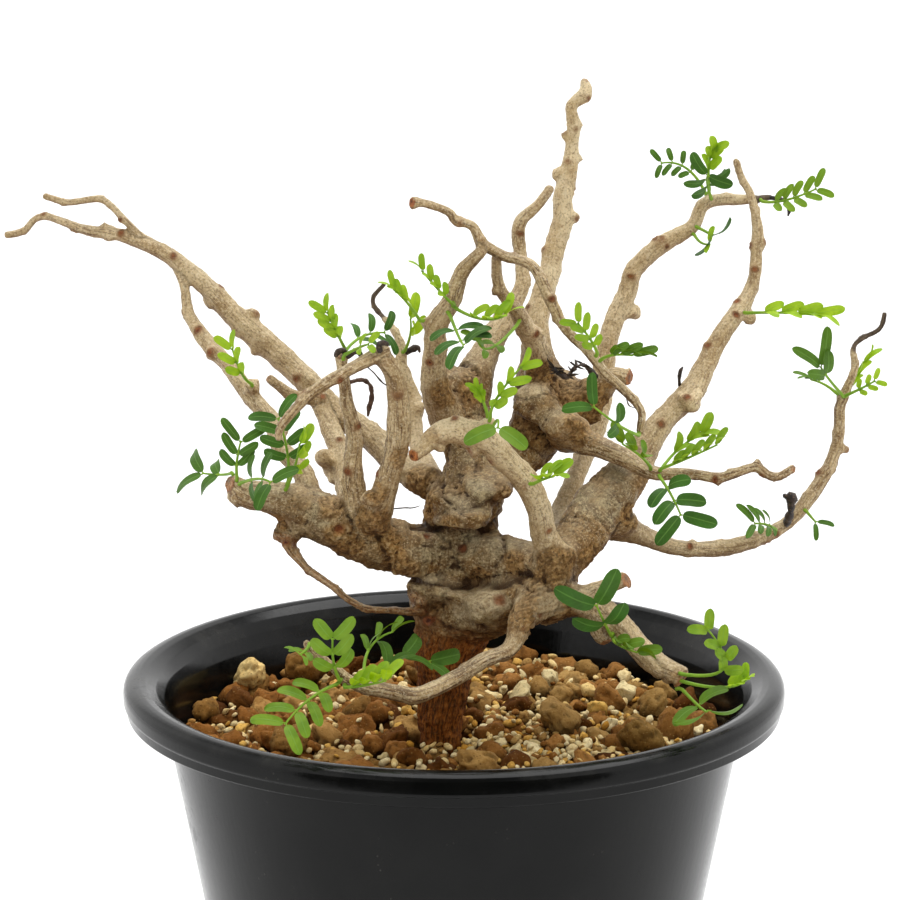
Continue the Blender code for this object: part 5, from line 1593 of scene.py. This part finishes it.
fill(tree, shader, {"Base Color": colour, "Roughness": 0.42, "Specular IOR Level": 0.16,
                    "Normal": bumps_of(tree, [(ribs, 0.35, 0.00015)])})
glow = between(tree, age, (20, 74, 6), (196, 232, 20))
through = add(tree, "BsdfTranslucent", {"Color": mix_of(tree, 0.7, colour, glow)})
both = add(tree, "MixShader", {0: 0.22, 1: shader.outputs[0], 2: through.outputs[0]})
tree.links.new(both.outputs[0], tree.nodes["Material Output"].inputs["Surface"])
print("green leaf ready:", len(tree.nodes), "nodes")

# %% [markdown]
# ### The leaves: one leaflet
# A leaflet is a small curved sheet: creased a little along its midrib, arched along its length, and hung
# on a stub of a stalk of its own. The sheet is a grid of rows along the leaflet. The rows crowd together
# at both ends, because that is where the outline bends most. Its half width follows a blunt ellipse, a
# little wider beyond the middle.

# %% The leaves: one leaflet
ROWS, COLUMNS = 13, 5
row_at = (1 - np.cos(np.linspace(0, math.pi, ROWS))) / 2
blunt = np.sqrt(np.maximum(1 - np.abs(2 * row_at**0.95 - 1) ** 3.8, 0)) * (0.90 + 0.12 * row_at)
column_at = np.linspace(-1, 1, COLUMNS)
sheet_faces = [
    (i * COLUMNS + j, i * COLUMNS + j + 1, (i + 1) * COLUMNS + j + 1, (i + 1) * COLUMNS + j)
    for i in range(ROWS - 1)
    for j in range(COLUMNS - 1)
]


def leaflet(root, reach, across, facing, long, wide, way):
    """A creased, arched sheet that starts at root and runs along reach, with its upper side facing out."""
    half = np.maximum(blunt * wide / 2, 0.05)
    droop, crease, twist = chance.uniform(0.02, 0.16), chance.uniform(0.06, 0.26), chance.uniform(-0.18, 0.18)
    u, v = np.meshgrid(row_at, column_at, indexing="ij")
    offset = v * half[:, None]
    height = crease * np.abs(offset) + long * (0.10 * np.sin(math.pi * u) - droop * u**2) + twist * u * offset
    buckled = np.stack([u * 2.1, v * 0.8, u * 0 + chance.uniform(0, 90)], -1).reshape(-1, 3)
    height += 0.05 * long * lattice(buckled).reshape(u.shape) * u
    points = root + (0.35 + u * long)[..., None] * reach
    points = points + offset[..., None] * across + height[..., None] * facing
    faces = sheet_faces if way > 0 else [tuple(reversed(f)) for f in sheet_faces]
    blade = np.stack([u, v, np.full_like(u, chance.random())], -1)
    stub = [(root, 0.17), (root + reach * 0.25 + facing * 0.02, 0.15), (root + reach * 0.6, 0.1)]
    stub = np.array([(*spot, radius) for spot, radius in stub])
    return points.reshape(-1, 3), faces, blade.reshape(-1, 3), stub


print("a leaflet has", len(sheet_faces), "faces")

# %% [markdown]
# ### The leaves: a whole leaf
# The stalk is one soft bend from the bark to its end. The pairs stand along it from where it stops being
# bare, folded up and forward as far as that leaf has yet to open. Each leaf is one piece, in the place
# of its flat solid.

# %% The leaves: a whole leaf
STALK_MARK = (0.0, 0.0, 1.0)  # what a stalk keeps in the place of a spot on a leaflet
STALK_AGE = 0.75


def leaf(start, middle, end, face, pairs, length, spread, fold, bare, width, first):
    found, out = on_bark(start)
    base, end = found - out * 0.35, np.array(end, float)
    lifted = found + out * 0.75
    control = 2 * np.array(middle, float) - (lifted + end) / 2
    face = unit(np.array(face, float))
    half_step = 0.36 / max(np.linalg.norm(end - lifted), 1)

    def place(t):
        return lifted * (1 - t) ** 2 + control * 2 * t * (1 - t) + end * t**2

    def frame_at(t):
        ahead = unit((control - lifted) * (1 - t) + (end - control) * t)
        side = unit(np.cross(ahead, face))
        return ahead, side, np.cross(side, ahead)

    stalk = [[*base, 0.46], [*(found + out * 0.3), 0.44]]
    for t in np.linspace(0.03, 1 - half_step * 0.4, 14):
        stalk.append([*place(t), 0.40 - 0.2 * t if t > 0.08 else 0.42])
    pieces = [tube(np.array(stalk), 7)]
    blades = [np.tile(STALK_MARK, (len(pieces[0][0]), 1))]
    opening, folding = math.radians(spread), math.radians(fold)
    for k in range(pairs):
        t = 1 - half_step if pairs == 1 else bare + (1 - half_step - bare) * k / (pairs - 1)
        ahead, side, up = frame_at(t)
        for way in (-1, 1):
            open_by, fold_by = opening + chance.normal(0, 0.07), folding + chance.normal(0, 0.08)
            out_to = side * way * math.cos(fold_by) + up * math.sin(fold_by)
            reach = ahead * math.cos(open_by) + out_to * math.sin(open_by)
            across = unit(ahead - reach * (ahead @ reach))
            flat = np.cross(across, reach) * way
            if flat @ up < 0:
                flat = -flat
            share = first + (1 - first) * (k + 1) / pairs
            long = length * share * chance.uniform(0.98, 1.12)
            turned_way = 1 if np.cross(reach, across) @ flat > 0 else -1
            points, faces, blade, stub = leaflet(
                place(t) + out_to * 0.15, reach, across, flat, long, length * width, turned_way)
            pieces += [(points, faces), tube(stub, 5)]
            blades += [blade, np.tile(STALK_MARK, (len(pieces[-1][0]), 1))]
    return pieces, blades


total = 0
for name, start, middle, end, face, pairs, length, spread, fold, bare, young, width, first in LEAVES:
    pieces, blades = leaf(start, middle, end, face, pairs, length, spread, fold, bare, width, first)
    piece = new_piece("leaf_" + name + "_blade", *joined(pieces), LEAF)
    ages = [np.full(len(b), STALK_AGE if b[0, 2] == STALK_MARK[2] else young) for b in blades]
    store(piece, "young", np.concatenate(ages))
    store(piece, "blade", np.vstack(blades))
    stands_for(piece, "green_leaf", "leaf_" + name)
    total += len(piece.data.polygons)
print("leaves:", len(LEAVES), "faces:", total)

# %% [markdown]
# ## Dried remains
# Last year's flower stalk and a dead spur are still on the plant. They are shrivelled, ridged and nearly
# black. Each is a tube whose thickness wanders, with withered scales along it.

# %% Dried remains
HUSK, tree, shader = new_material("dried_husk")
where = add(tree, "TexCoord").outputs["Object"]
mott = use(tree, mottling, {"Where": where, "Broad scale": 420.0, "Fine scale": 1800.0})
colour = between(tree, mott.outputs["Broad"], (26, 20, 18), (58, 44, 34))
colour = marked(tree, colour, mott.outputs["Fine"], 0.6, 1.0, 0.6, paint(120, 98, 78))
wrinkled = bumps_of(tree, [(noise_of(tree, where, 1300.0, 3.0, 0.6), 0.7, 0.0003)])
dullness = step_of(tree, mott.outputs["Fine"], 0.0, 1.0, 0.5, 0.8)
fill(tree, shader, {"Base Color": colour, "Roughness": dullness, "Normal": wrinkled})


def withered(run, sides=10, step=0.35):
    run = smooth_run(run, step)
    run[:, 3] *= 1 + 0.35 * lattice(run[:, :3] * 0.9, 61)
    points, faces = tube(run, sides)
    return points + 0.16 * rough(points * 1.4, 62)[:, None] * unit(points - points.mean(0)), faces


def scale(spot, way, long, wide):
    """A dead bud scale: a small cupped sheet with a torn point."""
    way = unit(np.array(way, float))
    side = unit(np.cross(way, (0.3, 0.4, 0.8)))
    up = np.cross(side, way)
    points = []
    for u in np.linspace(0, 1, 6):
        half = wide / 2 * math.sin(math.pi * min(u + 0.12, 1)) ** 0.7 + 0.03
        for v in (-1, -0.4, 0.4, 1):
            cupped = 0.5 * half * v * v + 0.25 * long * u * u
            points.append(np.array(spot) + way * u * long + side * v * half + up * cupped)
    faces = [(i * 4 + j, i * 4 + j + 1, i * 4 + j + 5, i * 4 + j + 4) for i in range(5) for j in range(3)]
    return np.array(points), faces


for name, run in DRIED.items():
    row = np.array(run, float)
    found, out = on_bark(row[0, :3])
    row[0, :3] = found + out * 0.1
    if name == "dried_spur":
        row[1, 3] *= 0.75
        tip = row[-1]
        knob = [tip + (0.0, 0.0, -1.2, 0.1), tip + (0.2, 0.0, 0.0, 0.45), tip + (0.6, 0.0, 0.6, 0.35)]
        hook = [tip + (-0.9, 0, 0.2, -0.35), tip + (-1.5, 0, 0.6, -0.55)]
        pieces = [withered(row), withered(knob), withered(hook)]
    else:
        row[1:, 3] *= 0.55
        pieces = [withered(row)]
        for spot in row[1:]:
            for _ in range(4):
                way = chance.normal(size=3) * (1.4, 1.0, 0.7)
                pieces.append(scale(spot[:3], way, chance.uniform(1.6, 3.2), chance.uniform(0.9, 1.6)))
    piece = new_piece(name + "_husk", *joined(pieces), HUSK)
    stands_for(piece, "dried_husk", name)
    print(name, len(piece.data.polygons), "faces")

# %% [markdown]
# ### Dried remains: threads and curls
# Fine dead bits cling all over an old plant: hair-thin roots and stalk fibres, a strip of bark that has
# come loose, the curled stubs of last year's shoots on top of pruned stems, a bud that never opened.
# Each is a run of points with its thickness, and its first end is set on the nearest bark.

# %% Dried remains: threads and curls
SCRAPS = {
    "thread_by_trunk": (0.16, [(-12, -22, 173), (-10.7, -21, 173.2), (-9.2, -19, 172.7), (-7.5, -17, 172.7)]),
    "thread_on_twig": (0.16, [(35.6, -14, 200), (36.9, -14, 198.4), (37.6, -14, 196.4), (38.3, -13, 194.4),
                              (39.7, -12, 193.6)]),
    "thread_on_stem": (0.17, [(-18.6, -35, 207.8), (-16.9, -36, 206), (-15.1, -34, 203.5),
                              (-13.2, -31, 201.8)]),
    "loose_strip": (0.50, [(-21.9, -26, 202.1), (-19.8, -24, 202.2), (-18.2, -22, 200.7), (-17.8, -21, 198.1),
                           (-18.4, -21, 195.4), (-18.7, -21, 193.6)]),
    "curl_on_knob_left": (0.70, [(-22.9, -26, 208.2), (-23.9, -27, 209.2), (-24.9, -28, 208.9),
                                 (-25.3, -28, 208.0)]),
    "curl_on_knob_right": (0.75, [(-22.3, -27, 208.2), (-21.0, -28, 209.2), (-19.9, -28, 208.4),
                                  (-19.6, -28, 207.0)]),
    "curl_on_stem": (0.70, [(-15.6, -36, 210.6), (-15.9, -36, 212), (-14.9, -37, 212.7),
                            (-13.8, -37, 212.2)]),
    "curl_on_back_stem": (0.70, [(-9.7, 25, 199.2), (-8.6, 24, 200.4), (-7.8, 23.4, 199.4)]),
    "hook_on_crown": (0.50, [(73.1, 34, 233.9), (75.4, 34, 233.5), (77, 33, 232.7), (77.5, 33, 231),
                             (77.3, 33, 229.6)]),
    "dead_bud": (0.42, [(51.2, 4, 194.9), (50.4, 3, 196.9), (50.6, 3, 198.7), (51.2, 3, 199.9)]),
}
for name, (size, spots) in SCRAPS.items():
    run = np.array([(*spot, size) for spot in spots], float)
    found, out = on_bark(run[0, :3])
    run[0, :3] = found - out * 0.1
    run[-1, 3] *= 0.45
    piece = new_piece(name, *withered(run, 7, 0.3), BARK if name == "loose_strip" else HUSK)
    store(piece, "dead", np.full(len(piece.data.vertices), 0.6))
    stands_for(piece, "bark" if name == "loose_strip" else "dried_husk")
print("scraps:", len(SCRAPS))

# %% [markdown]
# ## Studio
# The plant stands on a wide pale floor, which stays nearly even so that it draws no eye to itself.

# %% Studio: floor
FLOOR, tree, shader = new_material("studio_floor")
even = noise_of(tree, add(tree, "TexCoord").outputs["Object"], 3.0, 2.0)
pale_grey = mix_of(tree, even, (0.86, 0.86, 0.86), (0.89, 0.89, 0.89))
fill(tree, shader, {"Base Color": pale_grey, "Roughness": 0.9})
floor_corners = [(-9000, -6000, 0), (9000, -6000, 0), (9000, 12000, 0), (-9000, 12000, 0)]
floor = new_piece("studio_floor", floor_corners, [(0, 1, 2, 3)], FLOOR, False)
print("floor:", [round(side, 1) for side in floor.dimensions], "m")

# %% [markdown]
# ### Studio: the room and its lights
# One very soft light shines from above and a weaker one from the front, in a bright room. The side that
# the camera looks from is dim, and gloss sees bright walls only to the left and right and far behind.
# That, and a black card in front that nothing but gloss sees, keeps the front of the black pot black
# while its sides catch the light.

# %% Studio: the room and its lights
ROOM_LIGHT = 0.85
world = bpy.data.worlds.new("bright_room")
bpy.context.scene.world = world
world.use_nodes = True
tree = world.node_tree
direction = add(tree, "SeparateXYZ", {0: add(tree, "TexCoord").outputs["Generated"]})
dim = step_of(tree, direction.outputs["Y"], -0.85, 0.1, 0.05, 1.0)
room = mix_of(tree, dim, (0.0, 0.0, 0.0), (1.0, 1.0, 1.0))
sideways = step_of(tree, math_of(tree, "ABSOLUTE", direction.outputs["X"]), 0.14, 0.68)
far_wall = step_of(tree, direction.outputs["Y"], 0.55, 0.95)
walls = math_of(tree, "MAXIMUM", sideways, far_wall)
mirrored = mix_of(tree, walls, (0.15, 0.15, 0.15), (1.65, 1.65, 1.65))
glossy = add(tree, "LightPath").outputs["Is Glossy Ray"]
fill(tree, tree.nodes["Background"], {"Color": mix_of(tree, glossy, room, mirrored), "Strength": ROOM_LIGHT})

# Each light: its name, its power, and in degrees how wide it looks, how high it stands and its turn.
for name, power, width, height, turn in [
    ("overhead_softbox", 2.4, 50, 76, -20), ("front_softbox", 1.2, 45, 40, 190),
]:
    lamp = bpy.data.lights.new(name, "SUN")
    lamp.energy = power
    lamp.angle = math.radians(width)
    softbox = bpy.data.objects.new(name, lamp)
    softbox.visible_glossy = name != "front_softbox"
    softbox.rotation_euler = (math.radians(90 - height), 0, math.radians(turn - 180))
    bpy.context.scene.collection.objects.link(softbox)

CARD, tree, shader = new_material("black_card")
sooty = noise_of(tree, add(tree, "TexCoord").outputs["Object"], 9.0)
fill(tree, shader, {"Base Color": mix_of(tree, sooty, (0.004,) * 3, (0.008,) * 3)})
card = new_piece("black_card", [(-380, -330, 0), (380, -330, 0), (380, -330, 320), (-380, -330, 320)],
                 [(0, 1, 2, 3)], CARD, False)
card.visible_camera = card.visible_diffuse = card.visible_shadow = card.visible_transmission = False
print("lights:", len(bpy.data.lights))

# %% [markdown]
# ### Studio: camera
# A long lens looks down a little at the plant from the front. Colours are shown as they are.

# %% Studio: camera
CAMERA_AT = (-0.000902, -0.670859, 0.328872)
CAMERA_TILT, LENS, SENSOR = 77.61, 122.6, 36.0
lens = bpy.data.cameras.new("camera")
lens.lens, lens.sensor_width = LENS, SENSOR
camera = bpy.data.objects.new("camera", lens)
camera.location = CAMERA_AT
camera.rotation_euler = (math.radians(CAMERA_TILT), 0, 0)
bpy.context.scene.collection.objects.link(camera)
bpy.context.scene.camera = camera
bpy.context.scene.view_settings.view_transform = "Standard"
bpy.context.scene.view_settings.look = "None"
print("the camera looks", round(90 - CAMERA_TILT, 1), "degrees down")
